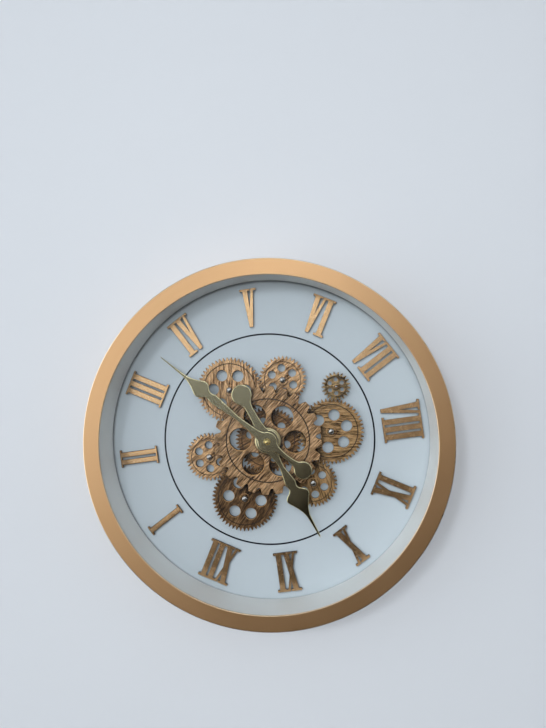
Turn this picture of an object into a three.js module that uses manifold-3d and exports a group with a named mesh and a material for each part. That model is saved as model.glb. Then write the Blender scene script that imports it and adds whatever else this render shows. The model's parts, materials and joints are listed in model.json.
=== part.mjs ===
// Gear wall clock: a deep round metal case with a glazed front, raised Roman numerals, an open
// train of toothed wheels turned by a small battery motor, and a quartz movement for the hands.
//
// Units are millimetres. +Z is up, the front of the clock faces -Y and the wall is the plane y = 0.
// The origin is the point where the wall screw seats in the keyhole of the hanger plate.

import * as THREE from 'three';
import { mergeVertices } from 'three/addons/utils/BufferGeometryUtils.js';
import Module from 'manifold-3d';

const wasm = await Module();
wasm.setup();

// Case, glass and dial
const caseDiameter = 500;
const caseDepth = 88;
const lipWidth = 22.5;
const sheetThickness = 1.5;
const edgeRounding = 1.4;
const glassThickness = 3;
const glassEdgeGap = 0.8;
const gasketThickness = 1.5;
const gasketWidth = 8;
const linerThickness = 2;
const linerStepBack = 1.4;
const dialThickness = 4;
const dialEdgeGap = 0.6;
const rearRecess = 24;
const rearFlangeWidth = 28;

// Clearance between pieces that run, slide or fit in each other
const fitGap = 0.3;

// Distance that a cutting solid runs past the faces that it opens, and that a joined rib sinks in
const overcut = 1;
const jointDepth = 0.2;

// Numerals
const numeralEdgeGap = 9.9;
const numeralHeight = 55.5;
const numeralThickness = 3;
const serifHeight = 3;
const serifOverhang = 3.6;
const serifGap = 1;
const stemWidth = 7.5;
const thinStroke = 3.5;
const stemPitch = 10.7;
const letterHalfWidth = 8.2;
const letterPitch = 15.4;
const apexWidth = 5;
const notchHeight = 27;

// Train of wheels
const gearModule = 1.8;
const toothAddendum = 1;
const toothDedendum = 1.6;
const toothTipShare = 0.44;
const wheelTeeth = 50;
const idlerTeeth = 36;
const pinionTeeth = 21;
const mainTeeth = 24;
const mainTipRadius = 76.5;
const mainToothHeight = 8.5;
const mainToothTipWidth = 9;
const mainRootGap = 3;
const mainToothPhase = 4.3;
const wheelThickness = 5;
const wheelStandoff = 6;
const mainWheelGap = 3;
const boreHubRadius = 7;
const boreHubRise = 1.5;
const centreHubRadius = 12;
const idlerTurn = -117.2;
const pinionTurn = -74.5;
const holeCount = 6;
const wheelHoles = { circle: 23.3, radius: 8, sides: 8 };
const idlerHoles = { circle: 16.8, radius: 5.5, sides: 8 };
const centreHoles = { circle: 27, radius: 5.5, sides: 8 };
const pinionHoles = { circle: 9.8, radius: 3, sides: 6 };
const mainHoles = { circle: 38.6, radius: 15.6, sides: 12 };
const centreHolePhase = 7.8;
const pinionHolePhase = 55;
const mainHolePhase = 19.8;

// Axles of the outer wheels
const axleRadius = 2.5;
const axleShoulderRadius = 6.5;
const axleShoulderHeight = 1.2;
const axleHead = { radius: 4, height: 2.2, domeRadius: 3.2, domeHeight: 1.5 };
const rivetRadius = 5;
const rivetHeight = 1.5;

// Centre bush, shafts and hands
const arborRadius = 1.6;
const pipeWall = 0.8;
const postWall = 1.2;
const bushWall = 2.2;
const bushFlangeRadius = 13;
const bushFlangeHeight = 1.2;
const bushNutRadius = 18.5;
const bushNutHeight = 3;
const handThickness = 1.2;
const hourHandGap = 5;
const minuteHandGap = 2.8;
const hourColletRadius = 6;
const minuteColletRadius = 4;
const hourHand = {
  reach: 150, tipHalf: 0.6, needleAt: 122, needleHalf: 2, leafAt: 87, leafHalf: 17,
  notchAt: 72, notchHalf: 6, bumpAt: 64, bumpHalf: 7.6, neckAt: 42, neckHalf: 3.2,
  hubRadius: 16.5, tailNeckAt: 50, tailNeckHalf: 5.2, tailReach: 74, tailDisc: 14.3,
};
const minuteHand = {
  reach: 190, tipHalf: 0.5, needleAt: 150, needleHalf: 1.8, leafAt: 118, leafHalf: 12.5,
  notchAt: 102, notchHalf: 4.6, bumpAt: 93, bumpHalf: 6.4, neckAt: 55, neckHalf: 3,
  hubRadius: 13.5, tailNeckAt: 34, tailNeckHalf: 3.2, tailReach: 63, tailDisc: 12.3,
};
const handNut = { radius: 4.8, height: 5.5, sideHeight: 1.9, domeRadius: 3.7, domeHeight: 4.4 };
const hubJoinAngle = 55;
const tailJoinAngle = 50;
const restTime = { hour: 10, minute: 17.7 };

// Quartz movement
const movementWidth = 56;
const movementDepth = 16;
const movementCorner = 3;
const cellLength = 50.5;
const cellRadius = 7;
const cellTerminal = { radius: 2.7, height: 1.5 };
const cellWall = 2.2;
const bayFloor = 1;
const knobRadius = 7;
const knobHeight = 3.6;
const knobShaftRadius = 2;
const knobShaftLength = 8;
const knobOffset = 15;

// Motor for the wheels
const gearboxSize = { x: 36, y: 15, z: 26 };
const gearboxEarLength = 8;
const gearboxEarThickness = 3;
const motorCanRadius = 7.4;
const motorCanLength = 22;
const motorShaftRadius = 1.5;
const motorShaftReach = 8;
const pinionTubeRise = 2;
const pinionTubeRadius = 3.4;

// Battery box with its sliding lid and switch
const boxCentre = { x: 66, z: -112 };
const boxWall = 2.6;
const boxCellGap = 0.8;
const lidThickness = 1.6;
const lidGrooveDepth = 1.3;
const lidTravelShare = 0.95;
const lidRidgeCount = 3;
const lidRidgeHeight = 0.8;
const lidRidgeWidth = 1.4;
const lidRidgePitch = 3;
const switchHousing = { x: 9, z: 18 };
const switchSlot = { x: 4, z: 9 };
const switchKnob = { z: 4.4, rise: 2.2 };
const leadRadius = 1.5;
const leadStraight = 9;
const leadBends = [{ x: 8, z: -117 }, { x: -14, z: -114 }];
const leadSteps = 14;

// Fastenings
const screwHead = { radius: 3.2, height: 1.8, topRadius: 2.2 };
const screwShankRadius = 1.4;
const screwGrip = 2.6;
const hangerPlate = { width: 62, foot: 3, thickness: 2, edgeGap: 1 };
const keyhole = { belowFlange: 17, headRadius: 5.5, slotRadius: 2.3, slotRun: 11 };
const rivetShankRadius = 1.8;
const rivetHead = { radius: 3.4, height: 1.4, topRadius: 2.4 };
const rivetSpacing = 44;
const clipSize = { along: 8, across: 14, height: 4.6, wall: 1.5 };

// Facets round the large rings, small shafts and curved outlines
const ringSides = 48;
const shaftSides = 12;
const pinSides = 8;
const curveSides = 4;

// Colours and finishes
const copperPaint = { color: 0xb98a5c, roughness: 0.42, metalness: 0.75 };
const woodBronze = { color: 0x9a6f4a, roughness: 0.5, metalness: 0.45 };
const polishedBrass = { color: 0x8d8458, roughness: 0.2, metalness: 1 };
const steel = { color: 0xb8bcc0, roughness: 0.3, metalness: 1 };
const whitePaint = { color: 0xdfe3e4, roughness: 0.6, metalness: 0 };
const dialPaint = { color: 0xc4ccd2, roughness: 0.65, metalness: 0 };
const clearGlass = { color: 0xe8f2f2, roughness: 0.03, metalness: 0, transparent: true, opacity: 0.25 };
const blackPlastic = { color: 0x232427, roughness: 0.55, metalness: 0 };
const greyRubber = { color: 0x4a4c4e, roughness: 0.8, metalness: 0 };
const cellJacket = { color: 0x3f6d4e, roughness: 0.4, metalness: 0.2 };
const redSleeve = { color: 0x8c2a24, roughness: 0.5, metalness: 0 };
const zincPlate = { color: 0x9da2a6, roughness: 0.38, metalness: 0.9 };

// Radii and levels worked out from the sizes above
const caseRadius = caseDiameter / 2;
const caseInnerRadius = caseRadius - sheetThickness;
const lipRadius = caseRadius - lipWidth;
const linerRadius = lipRadius + linerStepBack;
const numeralOuterRadius = linerRadius - numeralEdgeGap;
const dialRadius = caseInnerRadius - dialEdgeGap;
const frontLevel = -caseDepth;
const glassFront = frontLevel + sheetThickness;
const glassBack = glassFront + glassThickness;
const linerFront = glassBack + gasketThickness;
const dialBack = -rearRecess;
const dialFront = dialBack - dialThickness;
const wheelBack = dialFront - wheelStandoff;
const wheelFront = wheelBack - wheelThickness;
const mainBack = wheelFront - mainWheelGap;
const mainFront = mainBack - wheelThickness;
const bushNutBack = mainFront - fitGap;
const bushNutFront = bushNutBack - bushNutHeight;
const hourHandBack = bushNutFront - hourHandGap;
const hourHandFront = hourHandBack - handThickness;
const minuteHandBack = hourHandFront - minuteHandGap;
const minuteHandFront = minuteHandBack - handThickness;
const handNutFront = minuteHandFront - handNut.height;
const movementBack = dialBack + movementDepth;
const movementCentre = movementDepth / 2 + dialBack;

/** Radius of a faceted bore whose flats clear a shaft of this radius by the fit gap. */
const boreFor = (shaftRadius) => (shaftRadius + fitGap) / Math.cos(Math.PI / shaftSides);

// Nested tubes at the centre, from the minute arbor outwards
const pipeBore = boreFor(arborRadius);
const pipeRadius = pipeBore + pipeWall;
const postBore = boreFor(pipeRadius);
const postRadius = postBore + postWall;
const bushBore = boreFor(postRadius);
const bushRadius = bushBore + bushWall;
const hubBore = boreFor(bushRadius);

// Rear ring, and the dial's centre that lies this far below the keyhole's seat
const flangeRadius = caseRadius - rearFlangeWidth;
const centreDrop = flangeRadius - keyhole.belowFlange;
const rearRingBore = dialRadius - sheetThickness;

// Hanger plate, as high under the flange as its corners can go
const hangerTop = Math.sqrt((rearRingBore - hangerPlate.edgeGap) ** 2 - (hangerPlate.width / 2) ** 2);
const rivetLevel = (flangeRadius + hangerTop) / 2;
const rivetPlaces = [-1, 1].map((side) => new THREE.Vector2((side * rivetSpacing) / 2, rivetLevel));

const radians = THREE.MathUtils.degToRad;

/** A point on the dial plane, at a radius and an angle in degrees from +X towards +Z. */
function polar(radius, angle) {
  return new THREE.Vector2(radius * Math.cos(radians(angle)), radius * Math.sin(radians(angle)));
}

/** Drops normals and UVs, welds the vertices and turns the faces outwards. */
function weld(geometry) {
  const bare = geometry.index ? geometry : geometry.clone();
  for (const name of ['normal', 'uv', 'uv1']) bare.deleteAttribute(name);
  const welded = mergeVertices(bare);
  return signedVolume(welded) < 0 ? flipped(welded) : welded;
}

function signedVolume(geometry) {
  const position = geometry.getAttribute('position');
  const index = geometry.getIndex();
  const [a, b, c] = [new THREE.Vector3(), new THREE.Vector3(), new THREE.Vector3()];
  let volume = 0;
  for (let i = 0; i < index.count; i += 3) {
    a.fromBufferAttribute(position, index.getX(i));
    b.fromBufferAttribute(position, index.getX(i + 1));
    c.fromBufferAttribute(position, index.getX(i + 2));
    volume += a.dot(b.cross(c)) / 6;
  }
  return volume;
}

function flipped(geometry) {
  const index = geometry.getIndex().array;
  for (let i = 0; i < index.length; i += 3) {
    const first = index[i];
    index[i] = index[i + 2];
    index[i + 2] = first;
  }
  return geometry;
}

function toManifold(geometry) {
  const solid = weld(geometry);
  return new wasm.Manifold(new wasm.Mesh({
    numProp: 3,
    vertProperties: new Float32Array(solid.getAttribute('position').array),
    triVerts: new Uint32Array(solid.getIndex().array),
  }));
}

function fromManifold(solid) {
  const mesh = solid.getMesh();
  const geometry = new THREE.BufferGeometry();
  geometry.setAttribute('position', new THREE.BufferAttribute(mesh.vertProperties, 3));
  geometry.setIndex(new THREE.BufferAttribute(mesh.triVerts, 1));
  return geometry;
}

function join(...geometries) {
  return fromManifold(geometries.map(toManifold).reduce((whole, piece) => whole.add(piece)));
}

function cut(geometry, ...tools) {
  const solid = toManifold(geometry);
  return fromManifold(tools.map(toManifold).reduce((whole, tool) => whole.subtract(tool), solid));
}

function circlePoints(radius, sides, centre = new THREE.Vector2(), phase = 0) {
  const points = [];
  for (let i = 0; i < sides; i += 1) points.push(polar(radius, phase + (360 * i) / sides).add(centre));
  return points;
}

/** Extrudes an outline drawn on the dial plane (x right, y up) from one depth to a nearer one. */
function plate(outline, back, front, holes = []) {
  const shape = new THREE.Shape(outline);
  shape.holes = holes.map((points) => new THREE.Path(points));
  const geometry = new THREE.ExtrudeGeometry(shape, { depth: back - front, bevelEnabled: false });
  geometry.rotateX(Math.PI / 2);
  geometry.translate(0, back, 0);
  return weld(geometry);
}

/** Turns a profile of [radius, depth] points about the clock's Y axis; rings repeat no point. */
function turned(profile, sides = ringSides) {
  const points = profile.map(([radius, depth]) => new THREE.Vector2(radius, depth));
  const onAxis = points[0].x === 0 && points[points.length - 1].x === 0;
  if (!onAxis) points.push(points[0].clone());
  return weld(new THREE.LatheGeometry(points, sides));
}

function rectangle(left, right, low, high) {
  return [
    new THREE.Vector2(left, low), new THREE.Vector2(right, low),
    new THREE.Vector2(right, high), new THREE.Vector2(left, high),
  ];
}

function block(x, y, z) {
  return weld(new THREE.BoxGeometry(x[1] - x[0], y[1] - y[0], z[1] - z[0])
    .translate((x[0] + x[1]) / 2, (y[0] + y[1]) / 2, (z[0] + z[1]) / 2));
}

function rod(radius, back, front, sides = shaftSides) {
  return turned([[0, back], [radius, back], [radius, front], [0, front]], sides);
}

function tube(inner, outer, back, front, sides = shaftSides) {
  return turned([[inner, back], [outer, back], [outer, front], [inner, front]], sides);
}

function movedTo(geometry, x, z) {
  return geometry.translate(x, 0, z);
}

const clock = new THREE.Group();
clock.position.set(0, 0, -centreDrop);

function addPiece(name, geometry, finish, { at = new THREE.Vector2(), turn = 0 } = {}) {
  const mesh = new THREE.Mesh(geometry, new THREE.MeshStandardMaterial(finish));
  mesh.name = name;
  mesh.position.set(at.x, 0, at.y);
  mesh.rotation.y = -radians(turn);
  clock.add(mesh);
  return mesh;
}

// Case: the spun rim, the glass with its gasket, the white liner and the ring that closes the back

function buildCase() {
  const rim = turned([
    [lipRadius, glassFront],
    [lipRadius, frontLevel + edgeRounding / 2],
    [lipRadius + edgeRounding / 2, frontLevel],
    [caseRadius - edgeRounding, frontLevel],
    [caseRadius, frontLevel + edgeRounding],
    [caseRadius, 0],
    [caseInnerRadius, 0],
    [caseInnerRadius, glassFront],
  ]);
  addPiece('case_rim', rim, copperPaint);
  const glassRadius = caseInnerRadius - glassEdgeGap;
  addPiece('front_glass', rod(glassRadius, glassBack, glassFront, ringSides), clearGlass);
  const gasket = tube(linerRadius, linerRadius + gasketWidth, linerFront, glassBack, ringSides);
  addPiece('glass_gasket', gasket, greyRubber);
  const liner = turned([
    [linerRadius, linerFront],
    [linerRadius, dialFront],
    [dialRadius, dialFront],
    [dialRadius, dialFront - linerThickness],
    [linerRadius + linerThickness, dialFront - linerThickness],
    [linerRadius + linerThickness, linerFront],
  ]);
  addPiece('inner_liner', liner, whitePaint);
  const ring = turned([
    [flangeRadius, 0],
    [dialRadius, 0],
    [dialRadius, dialBack],
    [rearRingBore, dialBack],
    [rearRingBore, -sheetThickness],
    [flangeRadius, -sheetThickness],
  ]);
  const rivetHole = () => rod(boreFor(rivetShankRadius), overcut, -sheetThickness - overcut);
  const rivetHoles = rivetPlaces.map((at) => movedTo(rivetHole(), at.x, at.y));
  addPiece('rear_ring', cut(ring, ...rivetHoles), zincPlate);
}

// Numerals: strokes with slab serifs, standing on the dial with their feet to the centre

const letterHalf = { I: stemWidth / 2, V: letterHalfWidth, X: letterHalfWidth };

function stroke(bottomLeft, bottomWidth, topLeft, topWidth) {
  return [
    new THREE.Vector2(bottomLeft, 0),
    new THREE.Vector2(bottomLeft + bottomWidth, 0),
    new THREE.Vector2(topLeft + topWidth, numeralHeight),
    new THREE.Vector2(topLeft, numeralHeight),
  ];
}

function letterOutlines(letter) {
  const half = letterHalf[letter];
  if (letter === 'I') return [stroke(-half, stemWidth, -half, stemWidth)];
  if (letter === 'X') {
    return [
      stroke(half - stemWidth, stemWidth, -half, stemWidth),
      stroke(-half, thinStroke, half - thinStroke, thinStroke),
    ];
  }
  const apexLeft = -half / 2;
  const apexRight = apexLeft + apexWidth;
  const notch = (apexLeft + apexRight) / 2 + apexWidth / 4;
  return [[
    new THREE.Vector2(apexLeft, 0),
    new THREE.Vector2(apexRight, 0),
    new THREE.Vector2(half, numeralHeight),
    new THREE.Vector2(half - thinStroke, numeralHeight),
    new THREE.Vector2(notch, notchHeight),
    new THREE.Vector2(-half + stemWidth, numeralHeight),
    new THREE.Vector2(-half, numeralHeight),
  ]];
}

function letterPlaces(text) {
  const places = [];
  let x = 0;
  [...text].forEach((letter, i) => {
    if (i > 0) x += letter === 'I' && text[i - 1] === 'I' ? stemPitch : letterPitch;
    places.push({ letter, x });
  });
  const left = places[0].x - letterHalf[text[0]];
  const right = x + letterHalf[text[text.length - 1]];
  const middle = (left + right) / 2;
  return places.map((place) => ({ letter: place.letter, x: place.x - middle }));
}

/** Spans of a letter's serifs at its head and at its foot; V stands on a bare apex. */
function serifSpans(letter) {
  const half = letterHalf[letter];
  const whole = [-half - serifOverhang, half + serifOverhang];
  if (letter === 'I') return { head: [whole], foot: [whole] };
  const thickEnd = -half + stemWidth + serifOverhang;
  const split = [[whole[0], thickEnd], [thickEnd + serifGap, whole[1]]];
  return { head: split, foot: letter === 'X' ? split.map(([from, to]) => [-to, -from]) : [] };
}

function buildNumeral(text) {
  const foot = numeralOuterRadius - numeralHeight;
  const head = numeralOuterRadius - serifHeight;
  const outlines = [];
  for (const { letter, x } of letterPlaces(text)) {
    for (const outline of letterOutlines(letter)) {
      outlines.push(outline.map((point) => point.clone().add(new THREE.Vector2(x, foot))));
    }
    const spans = serifSpans(letter);
    for (const [from, to] of spans.head) {
      outlines.push(rectangle(x + from, x + to, head, numeralOuterRadius));
    }
    for (const [from, to] of spans.foot) {
      outlines.push(rectangle(x + from, x + to, foot, foot + serifHeight));
    }
  }
  return join(...outlines.map((outline) => plate(outline, dialFront, dialFront - numeralThickness)));
}

function buildNumerals() {
  const texts = ['I', 'II', 'III', 'IV', 'V', 'VI', 'VII', 'VIII', 'IX', 'X', 'XI', 'XII'];
  texts.forEach((text, i) => {
    addPiece(`numeral_${i + 1}`, buildNumeral(text), woodBronze, { turn: -30 * (i + 1) });
  });
}

// Toothed wheels

const pitchRadius = (teeth) => (gearModule * teeth) / 2;

/** Outline of broad trapezoid teeth; phase is the angle of one tooth's middle, in degrees. */
function broadOutline(teeth, tipRadius, rootRadius, tipHalf, rootHalf, phase) {
  const points = [];
  const tipTurn = THREE.MathUtils.radToDeg(Math.asin(tipHalf / tipRadius));
  const rootTurn = THREE.MathUtils.radToDeg(Math.asin(rootHalf / rootRadius));
  for (let i = 0; i < teeth; i += 1) {
    const middle = phase + (360 * i) / teeth;
    points.push(polar(rootRadius, middle - rootTurn), polar(tipRadius, middle - tipTurn));
    points.push(polar(tipRadius, middle + tipTurn), polar(rootRadius, middle + rootTurn));
  }
  return points;
}

/** Outline of a wheel of the train: flat-tipped teeth with V-shaped gaps between them. */
function meshOutline(teeth, phase) {
  const tipRadius = pitchRadius(teeth) + toothAddendum * gearModule;
  const rootRadius = pitchRadius(teeth) - toothDedendum * gearModule;
  const tipTurn = THREE.MathUtils.radToDeg((toothTipShare * gearModule) / 2 / tipRadius);
  const points = [];
  for (let i = 0; i < teeth; i += 1) {
    const middle = phase + (360 * i) / teeth;
    points.push(polar(tipRadius, middle - tipTurn), polar(tipRadius, middle + tipTurn));
    points.push(polar(rootRadius, middle + 180 / teeth));
  }
  return points;
}

/** Tooth phase of a wheel so that its gap faces a tooth of the wheel that drives it. */
function meshedPhase(driverTeeth, driverPhase, direction, teeth) {
  const driverTurn = ((direction - driverPhase) * driverTeeth) / 360;
  return direction + 180 - (360 / teeth) * (0.5 - driverTurn);
}

function holeRing(holes, phase) {
  const rings = [];
  for (let i = 0; i < holeCount; i += 1) {
    const angle = phase + (360 * i) / holeCount;
    rings.push(circlePoints(holes.radius, holes.sides, polar(holes.circle, angle), angle));
  }
  return rings;
}

function wheelBody(teeth, phase, holes, holePhase, boreRadius, hubRadius, hubBack, hubFront) {
  const disc = plate(meshOutline(teeth, phase), wheelBack, wheelFront, [
    ...holeRing(holes, holePhase), circlePoints(boreRadius, shaftSides),
  ]);
  return join(disc, tube(boreRadius, hubRadius, hubBack, hubFront));
}

const axleBore = boreFor(axleRadius);
const hubBack = dialFront - axleShoulderHeight - fitGap;
const hubFront = wheelFront - boreHubRise;

/** The riveted post that an outer wheel turns on: rear rivet, dial shank, shoulder, pin and dome. */
function buildAxle() {
  const headBack = hubFront - fitGap;
  return turned([
    [0, dialBack + rivetHeight],
    [rivetRadius, dialBack + rivetHeight],
    [rivetRadius, dialBack],
    [axleRadius, dialBack],
    [axleRadius, dialFront],
    [axleShoulderRadius, dialFront],
    [axleShoulderRadius, dialFront - axleShoulderHeight],
    [axleRadius, dialFront - axleShoulderHeight],
    [axleRadius, headBack],
    [axleHead.radius, headBack],
    [axleHead.domeRadius, headBack - axleHead.domeHeight],
    [0, headBack - axleHead.height],
  ], pinSides);
}

const centrePhase = 0;
const wheelPlan = [
  { name: 'top_wheel', idler: 'right_idler', direction: 90, holePhase: 14, idlerHolePhase: 56 },
  { name: 'right_wheel', idler: 'bottom_idler', direction: -30, holePhase: 20.5, idlerHolePhase: 57 },
  { name: 'left_wheel', idler: 'left_idler', direction: 210, holePhase: 41.3, idlerHolePhase: 2.2 },
];

function trainPlaces() {
  return wheelPlan.map((plan) => {
    const phase = meshedPhase(wheelTeeth, centrePhase, plan.direction, wheelTeeth);
    const at = polar(2 * pitchRadius(wheelTeeth), plan.direction);
    const idlerDirection = plan.direction + idlerTurn;
    const idlerReach = pitchRadius(wheelTeeth) + pitchRadius(idlerTeeth);
    return {
      ...plan,
      phase,
      at,
      idlerAt: polar(idlerReach, idlerDirection).add(at),
      idlerPhase: meshedPhase(wheelTeeth, phase, idlerDirection, idlerTeeth),
    };
  });
}

const train = trainPlaces();
const leftWheel = train.find((place) => place.name === 'left_wheel');
const pinionAt = polar(pitchRadius(wheelTeeth) + pitchRadius(pinionTeeth), pinionTurn).add(leftWheel.at);

function buildOuterWheels() {
  for (const place of train) {
    const wheel = wheelBody(wheelTeeth, place.phase, wheelHoles, place.holePhase,
      axleBore, boreHubRadius, hubBack, hubFront);
    addPiece(place.name, wheel, woodBronze, { at: place.at });
    addPiece(place.name.replace('wheel', 'wheel_axle'), buildAxle(), steel, { at: place.at });
    const idler = wheelBody(idlerTeeth, place.idlerPhase, idlerHoles, place.idlerHolePhase,
      axleBore, boreHubRadius, hubBack, hubFront);
    addPiece(place.idler, idler, woodBronze, { at: place.idlerAt });
    addPiece(`${place.idler}_axle`, buildAxle(), steel, { at: place.idlerAt });
  }
}

function buildCentreWheels() {
  const rear = dialFront - bushFlangeHeight - fitGap;
  const centre = wheelBody(wheelTeeth, centrePhase, centreHoles, centreHolePhase,
    hubBore, centreHubRadius, rear, wheelFront);
  addPiece('centre_wheel', centre, woodBronze);
  const rootRadius = mainTipRadius - mainToothHeight;
  const rootHalf = (Math.PI * rootRadius) / mainTeeth - mainRootGap / 2;
  const teeth = broadOutline(mainTeeth, mainTipRadius, rootRadius, mainToothTipWidth / 2,
    rootHalf, mainToothPhase);
  const disc = plate(teeth, mainBack, mainFront, [
    ...holeRing(mainHoles, mainHolePhase), circlePoints(hubBore, shaftSides),
  ]);
  addPiece('main_wheel', join(disc, tube(hubBore, centreHubRadius, wheelFront, mainBack)), woodBronze);
}

function buildDrivePinion() {
  const tubeFront = wheelFront - pinionTubeRise;
  const phase = meshedPhase(wheelTeeth, leftWheel.phase, pinionTurn, pinionTeeth);
  const pinion = wheelBody(pinionTeeth, phase, pinionHoles, pinionHolePhase,
    boreFor(motorShaftRadius), pinionTubeRadius, hubBack, tubeFront);
  addPiece('drive_pinion', pinion, woodBronze, { at: pinionAt });
}

// Centre: the bush that carries the wheels, its nut, and the shafts and hands

function buildCentre() {
  const bush = turned([
    [bushBore, dialFront],
    [bushFlangeRadius, dialFront],
    [bushFlangeRadius, dialFront - bushFlangeHeight],
    [bushRadius, dialFront - bushFlangeHeight],
    [bushRadius, bushNutFront],
    [bushBore, bushNutFront],
  ], shaftSides);
  addPiece('centre_bush', bush, polishedBrass);
  const nut = tube(hubBore, bushNutRadius, bushNutBack, bushNutFront, 2 * shaftSides);
  addPiece('bush_nut', nut, polishedBrass);
  const arborBack = movementCentre + fitGap;
  const arborFront = (minuteHandFront + handNutFront) / 2;
  addPiece('minute_arbor', rod(arborRadius, arborBack, arborFront), polishedBrass);
  addPiece('hour_pipe', tube(pipeBore, pipeRadius, movementCentre, hourHandFront), polishedBrass);
}

/**
 * One side of a spade hand, from the middle of its tail disc to its tip: x is the half width and
 * y the distance along the hand. Disc, neck, round hub, neck, small bump, notch, leaf and needle.
 */
function handSide(hand) {
  const side = new THREE.Path();
  const mix = (from, to, share) => from + (to - from) * share;
  const hubStart = -radians(hubJoinAngle);
  const hub = { x: hand.hubRadius * Math.cos(hubStart), y: hand.hubRadius * Math.sin(hubStart) };
  side.absarc(0, -hand.tailReach, hand.tailDisc, -Math.PI / 2, radians(tailJoinAngle), false);
  side.quadraticCurveTo(hand.tailNeckHalf, hand.tailDisc - hand.tailReach,
    hand.tailNeckHalf, -hand.tailNeckAt);
  side.quadraticCurveTo(hand.tailNeckHalf, hub.y * 1.5, hub.x, hub.y);
  side.absarc(0, 0, hand.hubRadius, hubStart, -hubStart, false);
  side.quadraticCurveTo(hand.neckHalf * 1.2, -hub.y * 1.6, hand.neckHalf, hand.neckAt);
  side.lineTo(hand.bumpHalf, hand.bumpAt);
  side.quadraticCurveTo(hand.bumpHalf, mix(hand.bumpAt, hand.notchAt, 0.6),
    hand.notchHalf, hand.notchAt);
  side.bezierCurveTo(hand.notchHalf, mix(hand.notchAt, hand.leafAt, 0.5),
    hand.leafHalf, mix(hand.notchAt, hand.leafAt, 0.5), hand.leafHalf, hand.leafAt);
  side.bezierCurveTo(hand.leafHalf, mix(hand.leafAt, hand.needleAt, 0.15),
    hand.needleHalf, mix(hand.leafAt, hand.needleAt, 0.5), hand.needleHalf, hand.needleAt);
  side.lineTo(hand.tipHalf, hand.reach);
  return side;
}

function mirroredOutline(side) {
  const right = side.getPoints(curveSides);
  const left = right.slice(1).map((point) => new THREE.Vector2(-point.x, point.y));
  return [new THREE.Vector2(0, right[0].y), ...right.slice(1), ...left.reverse()];
}

function buildHand(hand, back, front, boreRadius, colletRadius, colletBack) {
  const bore = circlePoints(boreRadius, shaftSides);
  const blade = plate(mirroredOutline(handSide(hand)), back, front, [bore]);
  return join(blade, tube(boreRadius, colletRadius, colletBack, back));
}

function buildHands() {
  const minuteTurn = restTime.minute * 6;
  const hourTurn = (restTime.hour % 12) * 30 + restTime.minute / 2;
  const hour = buildHand(hourHand, hourHandBack, hourHandFront, boreFor(pipeRadius),
    hourColletRadius, hourHandBack + hourHandGap / 2);
  addPiece('hour_hand', hour, polishedBrass, { turn: -hourTurn });
  const minute = buildHand(minuteHand, minuteHandBack, minuteHandFront, boreFor(arborRadius),
    minuteColletRadius, minuteHandBack + minuteHandGap / 2);
  addPiece('minute_hand', minute, polishedBrass, { turn: -minuteTurn });
  const threadBore = boreFor(arborRadius);
  const boreEnd = (minuteHandFront + handNutFront) / 2 - fitGap;
  const nut = turned([
    [0, boreEnd],
    [threadBore, boreEnd],
    [threadBore, minuteHandFront],
    [handNut.radius, minuteHandFront],
    [handNut.radius, minuteHandFront - handNut.sideHeight],
    [handNut.domeRadius, minuteHandFront - handNut.domeHeight],
    [0, handNutFront],
  ], shaftSides);
  addPiece('hand_nut', nut, polishedBrass);
}

// Quartz movement behind the dial

const bayHalfHeight = cellRadius + fitGap;
const movementHalf = movementWidth / 2;
const bayMiddle = -movementHalf + cellWall + bayHalfHeight;

function roundedSquare(half, corner) {
  const shape = new THREE.Path();
  const inner = half - corner;
  shape.absarc(inner, inner, corner, 0, Math.PI / 2, false);
  shape.absarc(-inner, inner, corner, Math.PI / 2, Math.PI, false);
  shape.absarc(-inner, -inner, corner, Math.PI, 1.5 * Math.PI, false);
  shape.absarc(inner, -inner, corner, 1.5 * Math.PI, 2 * Math.PI, false);
  return shape.getPoints(curveSides);
}

function layCell(x, y, z) {
  const end = cellLength / 2;
  const can = turned([
    [0, -end],
    [cellRadius, -end],
    [cellRadius, end - cellTerminal.height],
    [cellTerminal.radius, end - cellTerminal.height],
    [cellTerminal.radius, end],
    [0, end],
  ], shaftSides);
  return can.rotateZ(-Math.PI / 2).translate(x, y, z);
}

function buildMovement() {
  const body = plate(roundedSquare(movementHalf, movementCorner), movementBack, dialBack);
  const post = rod(postRadius, dialBack, bushNutBack);
  const shaftHole = rod(postBore, movementCentre + 2 * fitGap, bushNutBack - overcut);
  const bayHalfLength = cellLength / 2 + fitGap;
  const bay = block([-bayHalfLength, bayHalfLength], [dialBack + bayFloor, movementBack + overcut],
    [bayMiddle - bayHalfHeight, bayMiddle + bayHalfHeight]);
  const knobHole = movedTo(rod(boreFor(knobShaftRadius), movementBack + overcut,
    movementBack - knobShaftLength - fitGap), knobOffset, knobOffset);
  addPiece('movement_case', cut(join(body, post), shaftHole, bay, knobHole), blackPlastic);
  const cellCentre = dialBack + bayFloor + bayHalfHeight;
  addPiece('movement_cell', layCell(0, cellCentre, bayMiddle), cellJacket);
  const knob = turned([
    [0, movementBack - knobShaftLength],
    [knobShaftRadius, movementBack - knobShaftLength],
    [knobShaftRadius, movementBack + fitGap],
    [knobRadius, movementBack + fitGap],
    [knobRadius, movementBack + knobHeight],
    [0, movementBack + knobHeight],
  ], shaftSides);
  addPiece('setting_knob', knob, blackPlastic, { at: new THREE.Vector2(knobOffset, knobOffset) });
}

// Screws: pan heads on the ears, with their shanks in the dial board

function buildScrew(seat) {
  const head = seat + screwHead.height;
  const tip = seat - gearboxEarThickness - screwGrip;
  return turned([
    [0, tip], [screwShankRadius, tip], [screwShankRadius, seat],
    [screwHead.radius, seat], [screwHead.topRadius, head], [0, head],
  ], pinSides);
}

function screwHole(back, front) {
  return rod(boreFor(screwShankRadius), back, front, pinSides);
}

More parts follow.
